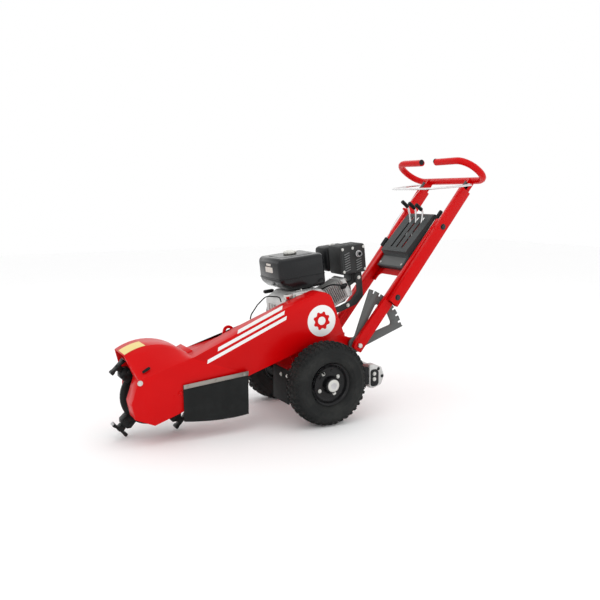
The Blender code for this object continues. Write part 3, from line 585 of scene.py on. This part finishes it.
def hood_trim():
    """Plain yellow sticker on the roof's front, and the dark slot in the leaning panel, a black sheet painted
    as the shade inside it.
    """
    centre = Vector((CUTTER_AT.x, 0, HOOD_CENTRE[1]))
    radius = HOOD_RADIUS + 0.0003

    def roof_strip(name, y_low, y_high, start, end, look, lift=0.0003):
        shape = bmesh.new()
        rows = []
        for k in range(17):
            a = math.radians(start + (end - start) * k / 16)
            out = Vector((math.cos(a), 0, math.sin(a)))
            rows.append([[shape.verts.new(centre + out * (radius + h) + Vector((0, y, 0)))
                          for h in (0, lift)] for y in (y_low, y_high)])
        for (a, b), (c, d) in zip(rows, rows[1:]):
            for quad in ((a[1], b[1], d[1], c[1]), (a[0], c[0], d[0], b[0]), (a[0], a[1], c[1], c[0]),
                         (b[0], d[0], d[1], b[1])):
                shape.faces.new(quad)
        for a, b in (rows[0], rows[-1]):
            shape.faces.new((a[0], b[0], b[1], a[1]))
        return piece(name, shape, look, "chassis", "red_paint", crease=60)

    roof_strip("hood_sticker", -0.084, 0.002, 120.5, 98.0, YELLOW_FILM)
    # Black sheet in the slot: painted shade inside its opening.
    slot = bmesh.new()
    low, high = Vector((-0.708, -0.157, 0.259)), Vector((-0.676, -0.157, 0.277))
    along = (high - low).normalized()
    out = Vector((0.08, -0.74, 0.66)).normalized()
    at = HERE @ ((low + high) / 2 + Vector((0, 0.002, 0.01)))
    across = out.cross(along).normalized()
    frame_place = Matrix((along, across, out)).transposed().to_4x4()
    frame_place.translation = at
    half, rise = 0.016, 0.0052
    outline = (arc((half - rise, 0), rise, -90, 90, 8) + arc((rise - half, 0), rise, 90, 270, 8))
    extruded(slot, outline, 0.0012, frame_place @ shift((0, 0, -0.0004)))
    piece("hood_slot", slot, PAINTED_SHADE_BLACK, "chassis", "black_plastic", crease=60)


# ---------------------------------------------------------------- wheels

def tyre(name):
    """Tread blocks in staggered rows on a rounded carcass, with ribs and raised marks on the sidewalls."""
    low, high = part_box(f"{name}_tyre")
    radius = (high.z - low.z) / 2
    place = turn_to((AXLE_AT.x, (low.y + high.y) / 2, radius), (0, 1, 0))
    tread = radius - 0.006
    section = [(0.0834, -0.026), (0.085, -0.034), (0.0905, -0.0405), (0.096, -0.0455), (0.101, -0.0475),
               (0.103, -0.049), (0.1052, -0.0478), (0.118, -0.0492), (0.129, -0.0482),
               (0.131, -0.0495), (0.1332, -0.0478), (0.142, -0.0448), (0.15, -0.039), (0.1555, -0.032),
               (0.158, -0.022), (tread, -0.01), (tread + 0.0006, 0.0)]
    section += [(r, -y) for r, y in reversed(section[:-1])]
    carcass = bmesh.new()
    lathe(carcass, section + [section[0]], place, 120)
    made = piece(f"{name}_tyre_carcass", carcass, "tyre_rubber", NODE_BODY[f"{name}_tyre"], crease=50)
    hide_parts(f"{name}_tyre")

    blocks = bmesh.new()
    count = 40
    rows = ((0.0, 0.017, 0.015, radius - 0.0004, 0.35),
            (0.0195, 0.013, 0.014, radius - 0.001, -0.45),
            (-0.0195, 0.013, 0.014, radius - 0.001, 0.45),
            (0.0345, 0.012, 0.0125, radius - 0.0062, 0.15),
            (-0.0345, 0.012, 0.0125, radius - 0.0062, -0.15))
    for row, (y, width, length, reach, skew) in enumerate(rows):
        drop = 0.5 if abs(y) > 0.03 else 0.12 if y else 0.0
        for k in range(count):
            turn = Matrix.Rotation(2 * math.pi * (k + 0.5 * (row % 2)) / count, 4, "Z")
            lean = Matrix.Rotation(-math.copysign(drop, y) if y else 0.0, 4, "Y")
            spot = place @ turn @ shift((reach - 0.0045, 0, y)) @ lean @ Matrix.Rotation(skew, 4, "X")
            corners = block(blocks, (-0.007, -length / 2, -width / 2), (0.0045, length / 2, width / 2))
            for v in corners:
                if v.co.x > 0:
                    v.co.y *= 0.82
                    v.co.z *= 0.82
            bmesh.ops.transform(blocks, matrix=spot, verts=corners)
    shoulder_bars = 60
    for k in range(shoulder_bars):
        for face in (-1, 1):
            turn = Matrix.Rotation(2 * math.pi * k / shoulder_bars, 4, "Z")
            lean = Matrix.Rotation(face * -0.7, 4, "Y")
            spot = place @ turn @ shift((0.1455, 0, face * 0.0428)) @ lean
            block(blocks, (-0.0055, -0.0018, -0.0016), (0.0055, 0.0018, 0.0016), spot)
    piece(f"{name}_tyre_blocks", blocks, "tyre_rubber", NODE_BODY[f"{name}_tyre"], None, 0.0006, 1)


def rim(side, name):
    """Dished pressed rim with rolled lip, bolts, valve stem and a zinc cap over the hub."""
    body = NODE_BODY[f"{name}_rim"]
    place = turn_to((AXLE_AT.x, side * 0.22, AXLE_AT.z), (0, side, 0))
    shape = bmesh.new()
    dish = [(0.0129, 0.048), (0.029, 0.048), (0.03, 0.0465), (0.03, 0.024), (0.0325, 0.0205),
            (0.042, 0.017), (0.056, 0.014), (0.062, 0.0145), (0.069, 0.019), (0.0725, 0.025),
            (0.0765, 0.0305), (0.08, 0.0325), (0.0825, 0.0345), (0.0833, 0.033), (0.0833, -0.033),
            (0.0825, -0.0345), (0.079, -0.033), (0.074, -0.018), (0.066, -0.004), (0.056, -0.0035),
            (0.03, 0.004), (0.03, -0.0465), (0.029, -0.048), (0.0129, -0.048)]
    lathe(shape, dish + [dish[0]], place, 72)
    for k in range(5):
        spot = place @ Matrix.Rotation(2 * math.pi * k / 5, 4, "Z") @ shift((0.05, 0, 0.0148))
        lathe(shape, [(0, 0), (0.0085, 0), (0.008, 0.0014), (0.006, 0.002), (0, 0.002)], spot, 24)
    made = piece(f"{name}_rim_dish", shape, "rim_black", body, crease=40)
    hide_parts(f"{name}_rim")
    bolts(f"{name}_rim_bolts", [place @ Matrix.Rotation(2 * math.pi * (k + 0.35) / 4, 4, "Z")
                                @ Vector((0.047, 0, 0.0162)) for k in range(4)],
          (0, side, 0), MAT["zinc_plate"], body, 0.005, 0.004)
    cap = bmesh.new()
    lathe(cap, [(0.0, 0.048), (0.0238, 0.048), (0.0245, 0.0488), (0.0245, 0.054), (0.0236, 0.0556),
                (0.019, 0.0566), (0.012, 0.0572), (0.0, 0.0575)], place, 48)
    piece(f"{name}_hub_cap", cap, "zinc_plate", body, crease=50)
    valve = bmesh.new()
    lean = Matrix.Rotation(-0.5, 4, "Y")
    stem = place @ Matrix.Rotation(2.2, 4, "Z") @ shift((0.07, 0, 0.021)) @ lean
    lathe(valve, [(0, 0), (0.0042, 0), (0.0038, 0.009), (0.0026, 0.01), (0.0026, 0.015),
                  (0.0034, 0.0155), (0.0034, 0.023), (0.0026, 0.024), (0, 0.024)], stem, 16)
    piece(f"{name}_valve_stem", valve, "tyre_rubber", body, crease=40)


# ---------------------------------------------------------------- cutter and chip guards

def cutter_wheel():
    """Bevelled disc, four bolted teeth with flared ends and carbide edges, and the drive parts' finish."""
    refined("cutter_disc", 0.0018, 2, 28.0)
    outer = 0.173
    neck, flare = 0.012, 0.034
    half = [(outer - 0.0255, neck - 0.001), (outer - 0.011, neck), (outer - 0.0105, 0.019),
            (outer - 0.013, 0.0235), (outer - 0.013, flare), (outer, flare), (outer, 0.024),
            (outer - 0.0022, 0.02)]
    outline = half + [(x, -z) for x, z in reversed(half)]
    for i, station in enumerate((45.0, 135.0, 225.0, 315.0), 1):
        place = shift(CUTTER_AT) @ Matrix.Rotation(-math.radians(station), 4, "Y")
        shape = bmesh.new()
        extruded(shape, outline, 0.032, place @ shift((0, 0.016, 0)) @ SIDE)
        made = piece(f"cutter_tooth_{i}_body", shape, "cutter_black", "cutter", None, 0.0022, 3, 28.0)
        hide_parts(f"cutter_tooth_{i}")
        tips = bmesh.new()
        for end in (-1, 1):
            low, high = sorted((end * (flare - 0.0006), end * 0.035))
            block(tips, (outer - 0.0118, -0.015, low), (outer - 0.0008, 0.015, high), place)
        piece(f"cutter_tooth_{i}_carbide", tips, "bright_steel", "cutter", None, 0.0004, 1)
        heads = bmesh.new()
        for z in (-0.012, 0.012):
            for side in (-1, 1):
                hex_bolt(heads, place @ Vector((0.1255, side * 0.021, z)),
                         place.to_3x3() @ Vector((0, side, 0)), 0.0062, 0.0055)
        hex_bolt(heads, place @ Vector((outer - 0.0024, 0, 0)), place.to_3x3() @ Vector((1, 0, 0)),
                 0.0055, 0.0012, False)
        piece(f"cutter_tooth_{i}_bolts", heads, "cutter_black", "cutter", crease=25)
    refined("cutter_pulley", 0.0008, 2)
    refined("drive_pulley", 0.0008, 2)
    for side in ("left", "right"):
        refined(f"cutter_bearing_{side}", 0.001, 2, 25.0)


def chip_guards():
    """Rubber flap with a slight outward belly, its clamp bolts, and the curtain in front of the wheels."""
    low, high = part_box("side_chip_flap")
    shape = bmesh.new()
    columns, rows = 30, 16
    grid = []
    for i in range(columns + 1):
        u = i / columns
        x = low.x + (high.x - low.x) * u
        top = 0.2095 + 0.0235 * u
        bottom = 0.06 + 0.016 * (1 - u) ** 2.2 + 0.011 * u ** 3
        column = []
        for j in range(rows + 1):
            v = j / rows
            belly = 0.0046 * math.sin(v * 1.9) * (0.4 + 0.6 * math.sin(math.pi * (0.12 + 0.76 * u)))
            ripple = 0.0007 * math.sin(u * 17.0) * v * v
            column.append(shape.verts.new((x, high.y - 0.0062 - belly - ripple, top + (bottom - top) * v)))
        grid.append(column)
    for a, b in zip(grid, grid[1:]):
        for j in range(rows):
            shape.faces.new([a[j], b[j], b[j + 1], a[j + 1]])
    flap = piece("side_chip_flap_skin", shape, "rubber_sheet", "chassis", None, 0.001, 2, 50.0, 0.00001,
                 0.0056)
    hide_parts("side_chip_flap")
    strip_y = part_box("flap_clamp_strip")[0].y
    bolts("flap_strip_bolts",
          [side_at(-0.545 + 0.109 * k, 0.2046 + 0.01035 * k, strip_y) for k in range(3)],
          (0, -1, 0), "strip_grey", "chassis", 0.004, 0.0022)
    bolts("flap_end_bolt", [side_at(-0.3085, 0.195, GUARD_FACE - 0.004)], (1, 0, 0), "zinc_plate",
          "chassis", 0.0042, 0.004)
    refined("chip_curtain", 0.0016, 2)
    bolts("curtain_bolts", [side_at(-0.1362, z, y) for y, z in ((-0.15, 0.192), (-0.096, 0.189))],
          (-1, 0, 0), "zinc_plate", "chassis", 0.0048, 0.0036)


# ---------------------------------------------------------------- engine

def round_box(shape, low, high, radius, place, steps=5):
    """A plate with rounded corners in its X-Y plane."""
    (x0, y0, z0), (x1, y1, z1) = low, high
    outline = []
    for cx, cy, start in ((x1 - radius, y1 - radius, 0), (x0 + radius, y1 - radius, 90),
                          (x0 + radius, y0 + radius, 180), (x1 - radius, y0 + radius, 270)):
        outline += arc((cx, cy), radius, start, start + 90, steps)
    extruded(shape, outline, z1 - z0, place @ shift((0, 0, z0)))


def engine_block():
    """Crankcase with side cover and ribs, finned barrel with painted shade between its fins, head cover,
    spark plug and lead.
    """
    refined("engine_crankcase", 0.0045, 3, 25.0)
    cover = bmesh.new()
    outline = arc((0.0, 0.0), 0.1, 20, 330, 28)
    extruded(cover, outline, 0.006, ENGINE @ shift((0, -0.0677, 0)) @ SIDE)
    for k in range(6):
        block(cover, (-0.108, -0.062 + 0.026 * k, -0.06), (-0.1185, -0.058 + 0.026 * k, 0.06),
              ENGINE)
    for k in range(9):
        block(cover, (-0.056 + 0.0125 * k, -0.06, 0.104), (-0.0525 + 0.0125 * k, -0.04, 0.1098), ENGINE)
    piece("crankcase_cover", cover, "cast_alloy", "chassis", None, 0.0012, 2, 30.0)
    bolts("crankcase_cover_bolts", [ENGINE @ Vector((0.091 * math.cos(a), -0.0738, 0.091 * math.sin(a)))
                                    for a in (math.radians(40 + 35 * k) for k in range(8))],
          ENGINE.to_3x3() @ Vector((0, -1, 0)), "zinc_plate", "chassis", 0.005, 0.0045)

    barrel = bmesh.new()
    core = bmesh.new()
    # Dark block inside the fin stack: painted shade in the gaps between the alloy fins.
    block(core, (0.022, -0.034, -0.034), (0.112, 0.034, 0.034), BARREL)
    piece("barrel_core", core, DARK_BOLT_AND_FIN_SHADE, "chassis", "cast_alloy")
    upright = BARREL @ Matrix.Rotation(math.pi / 2, 4, "Y")
    for k in range(10):
        x = 0.027 + 0.0088 * k
        round_box(barrel, (-0.0455, -0.0445, x), (0.0455, 0.0445, x + 0.0032), 0.01, upright)
    made = piece("finned_barrel", barrel, "cast_alloy", "chassis", None, 0.0006, 1, 40.0)
    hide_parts("engine_cylinder")
    refined("cylinder_head_cover", 0.0015, 2, 30.0, MAT["cast_alloy"])
    bolts("head_cover_bolts",
          [BARREL @ Vector((0.14, y, z)) for y in (-0.03, 0.03) for z in (-0.03, 0.03)],
          BARREL.to_3x3() @ Vector((1, 0, 0)), "zinc_plate", "chassis", 0.005, 0.0042)
    plug = bmesh.new()
    boot = turn_to(BARREL @ Vector((0.106, -0.046, 0.012)), BARREL.to_3x3() @ Vector((0.25, -0.85, 0.4)))
    lathe(plug, [(0, 0), (0.0085, 0), (0.009, 0.012), (0.011, 0.013), (0.011, 0.016),
                 (0.0086, 0.017), (0.0082, 0.03), (0.006, 0.035), (0, 0.036)], boot, 20)
    sweep(plug, smooth_path([boot @ Vector((0, 0, 0.033)), at_engine(0.15, -0.088, 0.108),
                             at_engine(0.105, -0.074, 0.116), at_engine(0.07, -0.05, 0.1)]),
          0.0035, 8)
    piece("spark_plug_lead", plug, "black_plastic", "chassis", crease=40)


def fuel_tank():
    """Tank shell with its seam, top pressing, two plain labels, knurled cap and fuel tap."""
    shape = bmesh.new()
    outline = [(-0.0995, 0.146), (-0.0995, 0.2455), (0.1095, 0.2455), (0.1095, 0.1105), (-0.06, 0.1105)]
    extruded(shape, outline[::-1], 0.2075, ENGINE @ shift((0, 0.1718, 0)) @ SIDE)
    tank = piece("tank_shell", shape, "tank_black", "chassis", None, 0.0205, 6, 30.0)
    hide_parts("fuel_tank")
    seam = bmesh.new()
    round_box(seam, (-0.1015, -0.0385, 0.16), (0.1115, 0.1745, 0.1632), 0.024, ENGINE, 8)
    piece("tank_seam", seam, "tank_black", "chassis", None, 0.0008, 2)
    pressing = bmesh.new()
    round_box(pressing, (-0.07, -0.004, 0.2452), (0.08, 0.14, 0.2466), 0.03, ENGINE, 8)
    piece("tank_top_pressing", pressing, "tank_black", "chassis", None, 0.001, 3)
    label = bmesh.new()
    front = ENGINE @ shift((-0.0996, 0.0, 0.0)) @ Matrix.Rotation(-math.pi / 2, 4, "Y")
    round_box(label, (0.186, 0.03, 0.0), (0.208, 0.098, 0.0004), 0.004, front)
    round_box(label, (0.213, 0.044, 0.0), (0.222, 0.086, 0.0004), 0.003, front)
    piece("tank_label", label, PALE_FILM, "chassis", "tank_black", crease=60)
    cap = bmesh.new()
    top = ENGINE @ shift((0.005, 0.072, 0.2468))
    rings = [(0.0, 0.0), (0.0262, 0.0), (0.0268, 0.001), (0.0268, 0.01), (0.024, 0.0132),
             (0.015, 0.0142), (0.014, 0.0156), (0.0, 0.0158)]
    lathe(cap, rings, top, 48)
    for k in range(24):
        block(cap, (0.0255, -0.0011, 0.0015), (0.028, 0.0011, 0.0105),
              top @ Matrix.Rotation(math.pi * k / 12, 4, "Z"))
    knob = piece("fuel_cap_knob", cap, "zinc_plate", "tank_cap", None, 0.0004, 1, 35.0)
    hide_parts("fuel_cap")
    tap = bmesh.new()
    block(tap, (-0.03, -0.03, 0.096), (-0.008, -0.012, 0.11), ENGINE)
    bar(tap, 0.005, 0.018, turn_to(at_engine(-0.019, -0.03, 0.103), (0, -1, 0)), 16)
    block(tap, (-0.0215, -0.052, 0.099), (-0.0165, -0.047, 0.118), ENGINE)
    piece("fuel_tap", tap, "zinc_plate", "chassis", None, 0.0008, 2)


LOUVRE_COLUMNS = ((0.184, 0.211, 0.16, 8), (0.238, 0.266, 0.16, 5))      # left, right, lowest, count
LOUVRE_PITCH = 0.0098


def muffler():
    """Boxed muffler with a louvred guard, outlet, screws and its brackets down to the barrel; the louvres
    carry a painted highlight and black strips below them are painted shade.
    """
    refined("muffler", 0.0016, 2, 30.0)
    guard = bmesh.new()
    face = ENGINE @ shift((0, -0.0602, 0)) @ SIDE
    round_box(guard, (0.1735, 0.15, 0.0), (0.285, 0.256, 0.0016), 0.008, face)
    piece("muffler_guard", guard, "muffler_grey", "chassis", None, 0.0007, 2)

    def louvre_places(drop, lift):
        """Half width and place of every louvre, moved down by drop and out by lift."""
        for x0, x1, z0, count in LOUVRE_COLUMNS:
            for k in range(count):
                at = ((x0 + x1) / 2, z0 + LOUVRE_PITCH * k - drop, lift)
                yield (x1 - x0) / 2, face @ shift(at) @ Matrix.Rotation(0.28, 4, "Z")

    # Louvres in a paler grey than the guard: painted highlight on their lips.
    louvres = bmesh.new()
    for half, place in louvre_places(0.0, 0.0012):
        round_box(louvres, (-half, -0.0024, 0.0), (half, 0.0024, 0.003), 0.0022, place, 3)
    piece("muffler_louvres", louvres, LOUVRE_HIGHLIGHT_GREY, "chassis", "muffler_grey", 0.0007, 2)
    # Black strips set just below each louvre: painted shade under the louvres.
    slots = bmesh.new()
    for half, place in louvre_places(0.0038, 0.0013):
        round_box(slots, (0.001 - half, -0.0013, 0.0), (half - 0.001, 0.0013, 0.0006), 0.0012, place, 3)
    piece("muffler_guard_slots", slots, PAINTED_SHADE_BLACK, "chassis", "muffler_grey")
    outlet = bmesh.new()
    spot = turn_to(at_engine(0.253, -0.0616, 0.223), (0, -1, 0))
    lathe(outlet, [(0.0085, 0.0), (0.0135, 0.0), (0.014, 0.001), (0.014, 0.003), (0.0115, 0.0046),
                   (0.0108, 0.012), (0.0092, 0.012), (0.0085, 0.002)], spot, 32)
    piece("muffler_outlet", outlet, "bright_steel", "chassis", crease=45)
    bolts("muffler_screws", [at_engine(x, -0.0618, z) for x, z in
                             ((0.179, 0.249), (0.279, 0.249), (0.179, 0.156), (0.279, 0.156),
                              (0.227, 0.249))],
          (0, -1, 0), "zinc_plate", "chassis", 0.0038, 0.0026)
    ridges = bmesh.new()
    for k in range(4):
        round_box(ridges, (0.184 + 0.026 * k, -0.046, 0.2612), (0.198 + 0.026 * k, 0.03, 0.263), 0.005,
                  ENGINE)
    piece("muffler_top_ribs", ridges, "muffler_grey", "chassis", None, 0.0008, 2)
    bracket = bmesh.new()
    side = [(0.085, -0.012), (0.15, -0.008), (0.232, 0.01), (0.268, 0.04), (0.268, 0.1425),
            (0.24, 0.1425), (0.238, 0.066), (0.205, 0.034), (0.15, 0.018), (0.085, 0.012)]
    for y in (-0.0462, 0.05):
        extruded(bracket, side, 0.0038, ENGINE @ shift((0, y, 0)) @ SIDE)
    block(bracket, (0.238, -0.0462, 0.1), (0.2415, 0.0462, 0.1425), ENGINE)
    piece("muffler_bracket", bracket, "muffler_grey", "chassis", None, 0.001, 2)
    bolts("bracket_bolts",
          [at_engine(x, -0.05, z) for x, z in ((0.11, 0.001), (0.19, 0.014), (0.253, 0.122))],
          (0, -1, 0), "zinc_plate", "chassis", 0.005, 0.0042)


def engine_front():
    """Governor works and choke tab ahead of the barrel, and the finish of the engine's outer parts."""
    y = -0.074
    works = bmesh.new()
    block(works, (-0.1, y, 0.086), (-0.07, -0.05, 0.108), ENGINE)
    bar(works, 0.0062, 0.03, turn_to(at_engine(-0.06, y, 0.098), ENGINE.to_3x3() @ Vector((1, 0, 0))), 16)
    for x, z, r in ((-0.09, 0.07, 0.0075), (-0.058, 0.064, 0.006), (-0.03, 0.096, 0.0055)):
        bar(works, r, 0.009, turn_to(at_engine(x, -0.068, z), (0, -1, 0)), 18)
    piece("governor_works", works, "zinc_plate", "chassis", None, 0.0008, 2)
    rods = bmesh.new()
    for points in (((-0.09, -0.0775, 0.07), (-0.06, -0.079, 0.092), (-0.02, -0.078, 0.1),
                    (0.03, -0.076, 0.1)),
                   ((-0.058, -0.0765, 0.064), (-0.03, -0.079, 0.074), (0.01, -0.078, 0.104))):
        sweep(rods, smooth_path([ENGINE @ Vector(p) for p in points], 6), 0.0013, 8)
    piece("governor_rods", rods, "silver_rod", "chassis", crease=50)
    tab = bmesh.new()
    block(tab, (-0.101, y - 0.002, 0.0905), (-0.088, y - 0.0002, 0.1015), ENGINE)
    piece("choke_tab", tab, "red_paint", "chassis", None, 0.0008, 2)
    refined("throttle_cable", 0.0, 1, 60.0)
    refined("recoil_housing", 0.001, 2, 40.0)
    refined("air_cleaner", 0.003, 3, 30.0)
    refined("exhaust_pipe", 0.0, 1, 60.0)
    refined("oil_filler_plug", 0.001, 2)
    refined("recoil_grip", 0.0022, 3)
    nut = bmesh.new()
    top = ENGINE @ shift((0.223, 0.099, 0.252))
    lathe(nut, [(0, 0), (0.015, 0), (0.015, 0.0022), (0.006, 0.0034), (0.006, 0.0065), (0, 0.0072)],
          top, 24)
    piece("air_cleaner_nut", nut, "zinc_plate", "chassis", crease=35)
    # Black blocks in the vent openings of the recoil housing: painted shade inside the vents.
    vents = bmesh.new()
    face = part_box("recoil_housing")[1].y
    for k in range(10):
        turn = ENGINE @ shift((0, face - 0.0008, 0)) @ Matrix.Rotation(math.pi * k / 5, 4, "Y")
        block(vents, (0.022, 0, -0.0022), (0.043, 0.0012, 0.0022), turn)
    piece("recoil_vents", vents, PAINTED_SHADE_BLACK, "chassis", "black_plastic", 0.0008, 2)


# ---------------------------------------------------------------- handle and controls

def at_handle(s, y, n):
    return HANDLE @ Vector((s, y, n))


def handle():
    """Rails, ring, console and the bolts that hold them, all riding on the handle."""
    for side in ("left", "right"):
        refined(f"{side}_lower_rail", 0.0016, 3)
        refined(f"{side}_upper_rail", 0.0022, 3)
    refined("handle_cross_plate", 0.001, 2)
    refined("control_console", 0.0, 1, 15.0)
    refined("ring_handlebar", 0.0, 1, 50.0)
    out = HANDLE.to_3x3()
    for side, name in ((-1, "left"), (1, "right")):
        face = side * (0.143 + 0.0123)
        bolts(f"{name}_rail_bolts", [at_handle(s, face, -0.012) for s in (0.253, 0.617)],
              out @ Vector((0, side, 0)), DARK_BOLT_AND_FIN_SHADE, "handle", 0.008, 0.005)
        caps = bmesh.new()
        low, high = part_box("ring_handlebar")
        place = turn_to(Vector((low.x + 0.011, side * 0.05, high.z - 0.0125)), (0, -side, 0))
        lathe(caps, [(0, -0.002), (0.0118, -0.002), (0.0124, 0.0006), (0.011, 0.0032), (0.005, 0.0042),
                     (0, 0.0044)], place, 32)
        piece(f"{name}_ring_plug", caps, "black_plastic", "handle", crease=40)
    label = bmesh.new()
    plate = HANDLE @ shift((0, 0, 0.0062))
    round_box(label, (0.388, -0.078, 0.0), (0.434, 0.092, 0.0004), 0.004, plate)
    piece("console_label", label, MAT["quadrant_grey"], "handle", "console_grey", crease=60)
    bolts("console_screws", [at_handle(0.398, y, 0.0068) for y in (-0.072, 0.086)],
          out @ Vector((0, 0, 1)), "zinc_plate", "handle", 0.0034, 0.0024)


def levers():
    """Three round stems with ribbed grips, one per body, then the lock rod, the bail and the pins."""
    for node, body, y, reach in (("throttle_lever", "throttle_hand_lever", -0.036, 0.0),
                                 ("left_brake_lever", "left_brake_hand_lever", 0.004, 0.01),
                                 ("right_brake_lever", "right_brake_hand_lever", 0.044, 0.02)):
        hinge = HANDLE @ shift((0.54, y, -0.006))
        stem = bmesh.new()
        path = smooth_path([hinge @ Vector(p) for p in
                            ((0.0055, 0, 0.0), (0.07, 0, 0.02), (0.108, 0, 0.042 + reach),
                             (0.116, 0, 0.056 + reach))])
        sweep(stem, path, 0.0042, 8)
        made = piece(f"{node}_stem", stem, "silver_rod", body, crease=50)
        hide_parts(node)
        grip = bmesh.new()
        profile = [(0, 0), (0.0066, 0), (0.0076, 0.0012)]
        for k in range(7):
            profile += [(0.0084, 0.003 + 0.005 * k), (0.0084, 0.0058 + 0.005 * k),
                        (0.0075, 0.0066 + 0.005 * k)]
        profile += [(0.008, 0.0385), (0.006, 0.0405), (0, 0.041)]
        lathe(grip, profile, hinge @ shift((0.116, 0, 0.055 + reach)), 24)
        piece(f"{node}_grip", grip, "black_plastic", body, crease=40)
    rod = bmesh.new()
    line = HANDLE @ shift((0.2355, -0.096, 0)) @ Matrix.Rotation(math.pi / 2, 4, "Y")
    lathe(rod, [(0, 0.0005), (0.0036, 0.0005), (0.0047, 0.004), (0.0047, 0.408), (0, 0.408)], line, 24)
    made = piece("lock_rod_shank", rod, "zinc_plate", "lock", crease=40)
    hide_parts("lock_rod")
    grip = bmesh.new()
    profile = [(0, 0.4055), (0.007, 0.4055), (0.0084, 0.407)]
    for k in range(8):
        profile += [(0.0087, 0.4095 + 0.0052 * k), (0.0087, 0.4125 + 0.0052 * k),
                    (0.0078, 0.4135 + 0.0052 * k)]
    profile += [(0.0084, 0.453), (0.006, 0.4545), (0, 0.4548)]
    lathe(grip, profile, line, 24)
    piece("lock_rod_grip", grip, "black_plastic", "lock", crease=40)
    refined("stop_bail", 0.0, 1, 60.0)
    refined("lever_pin", 0.0, 1, 60.0)
    refined("handle_pivot_shaft", 0.0012, 2, 30.0)


def brakes():
    """The CAD brake blocks with soft edges, and a black cover with two pins and two bolts beside each."""
    for side, name in ((-1, "left"), (1, "right")):
        refined(f"{name}_brake_block", 0.0012, 3, 30.0)
        centre_z = AXLE_AT.z
        face = side * 0.2062
        cover = bmesh.new()
        place = shift((AXLE_AT.x + 0.226, face, centre_z - 0.006)) @ SIDE
        outline = arc((0.006, 0.016), 0.016, 0, 90, 6) + arc((-0.004, 0.02), 0.012, 90, 180, 6) \
            + arc((-0.004, -0.026), 0.012, 180, 270, 6) + arc((0.006, -0.022), 0.016, 270, 360, 6)
        depth = 0.003
        extruded(cover, outline, depth, place if side < 0 else place @ shift((0, 0, -depth)))
        for dx, dz in ((0.028, 0.026), (0.046, -0.006)):
            at = (AXLE_AT.x + 0.22 + dx, face + side * 0.0005, centre_z + dz)
            bar(cover, 0.007, 0.012, turn_to(at, (0, -side, 0)), 18)
        piece(f"{name}_brake_cover", cover, "black_plastic", "chassis", None, 0.001, 2)
        bolts(f"{name}_brake_bolts",
              [(AXLE_AT.x + 0.227, face + side * depth, centre_z + dz) for dz in (0.008, -0.014)],
              (0, side, 0), "zinc_plate", "chassis", 0.0052, 0.0042)


def cables():
    """Bail cable with its red stay, the round adjuster beside the console and the bail hinge lugs."""
    knob = bmesh.new()
    place = HANDLE @ shift((0.47, 0.124, 0.024)) @ Matrix.Rotation(math.pi / 2, 4, "Y")
    lathe(knob, [(0, 0), (0.0085, 0), (0.01, 0.002), (0.01, 0.04), (0.008, 0.043), (0, 0.043)], place, 24)
    piece("cable_adjuster", knob, "black_plastic", "handle", crease=40)
    wire = bmesh.new()
    route = ((0.512, 0.124, 0.024), (0.59, 0.126, 0.034), (0.68, 0.128, 0.03), (0.8, 0.13, 0.016))
    sweep(wire, smooth_path([at_handle(*p) for p in route]), 0.0012, 8)
    piece("bail_cable", wire, "silver_rod", "handle", crease=60)
    stay = bmesh.new()
    block(stay, (0.668, 0.122, 0.01), (0.676, 0.134, 0.036), HANDLE)
    piece("cable_stay", stay, "red_paint", "handle", None, 0.001, 2)
    lugs = bmesh.new()
    for side in (-1, 1):
        low, high = sorted((side * 0.1475, side * 0.1445))
        block(lugs, (0.806, low, -0.016), (0.844, high, 0.014), HANDLE)
    piece("bail_hinge_lugs", lugs, "quadrant_grey", "handle", None, 0.001, 2)


def carry_over():
    """The CAD nodes whose shape is final get their finished material."""
    for node, obj in frame["nodes"].items():
        obj.data.materials.clear()
        obj.data.materials.append(MAT[SLOT_OF[node]])


stage()
sheet_metal()
guard_skin()
guard_trim()
hood_trim()
for side, name in ((-1, "left"), (1, "right")):
    tyre(name)
    rim(side, name)
cutter_wheel()
chip_guards()
engine_block()
fuel_tank()
muffler()
engine_front()
handle()
levers()
brakes()
cables()
carry_over()
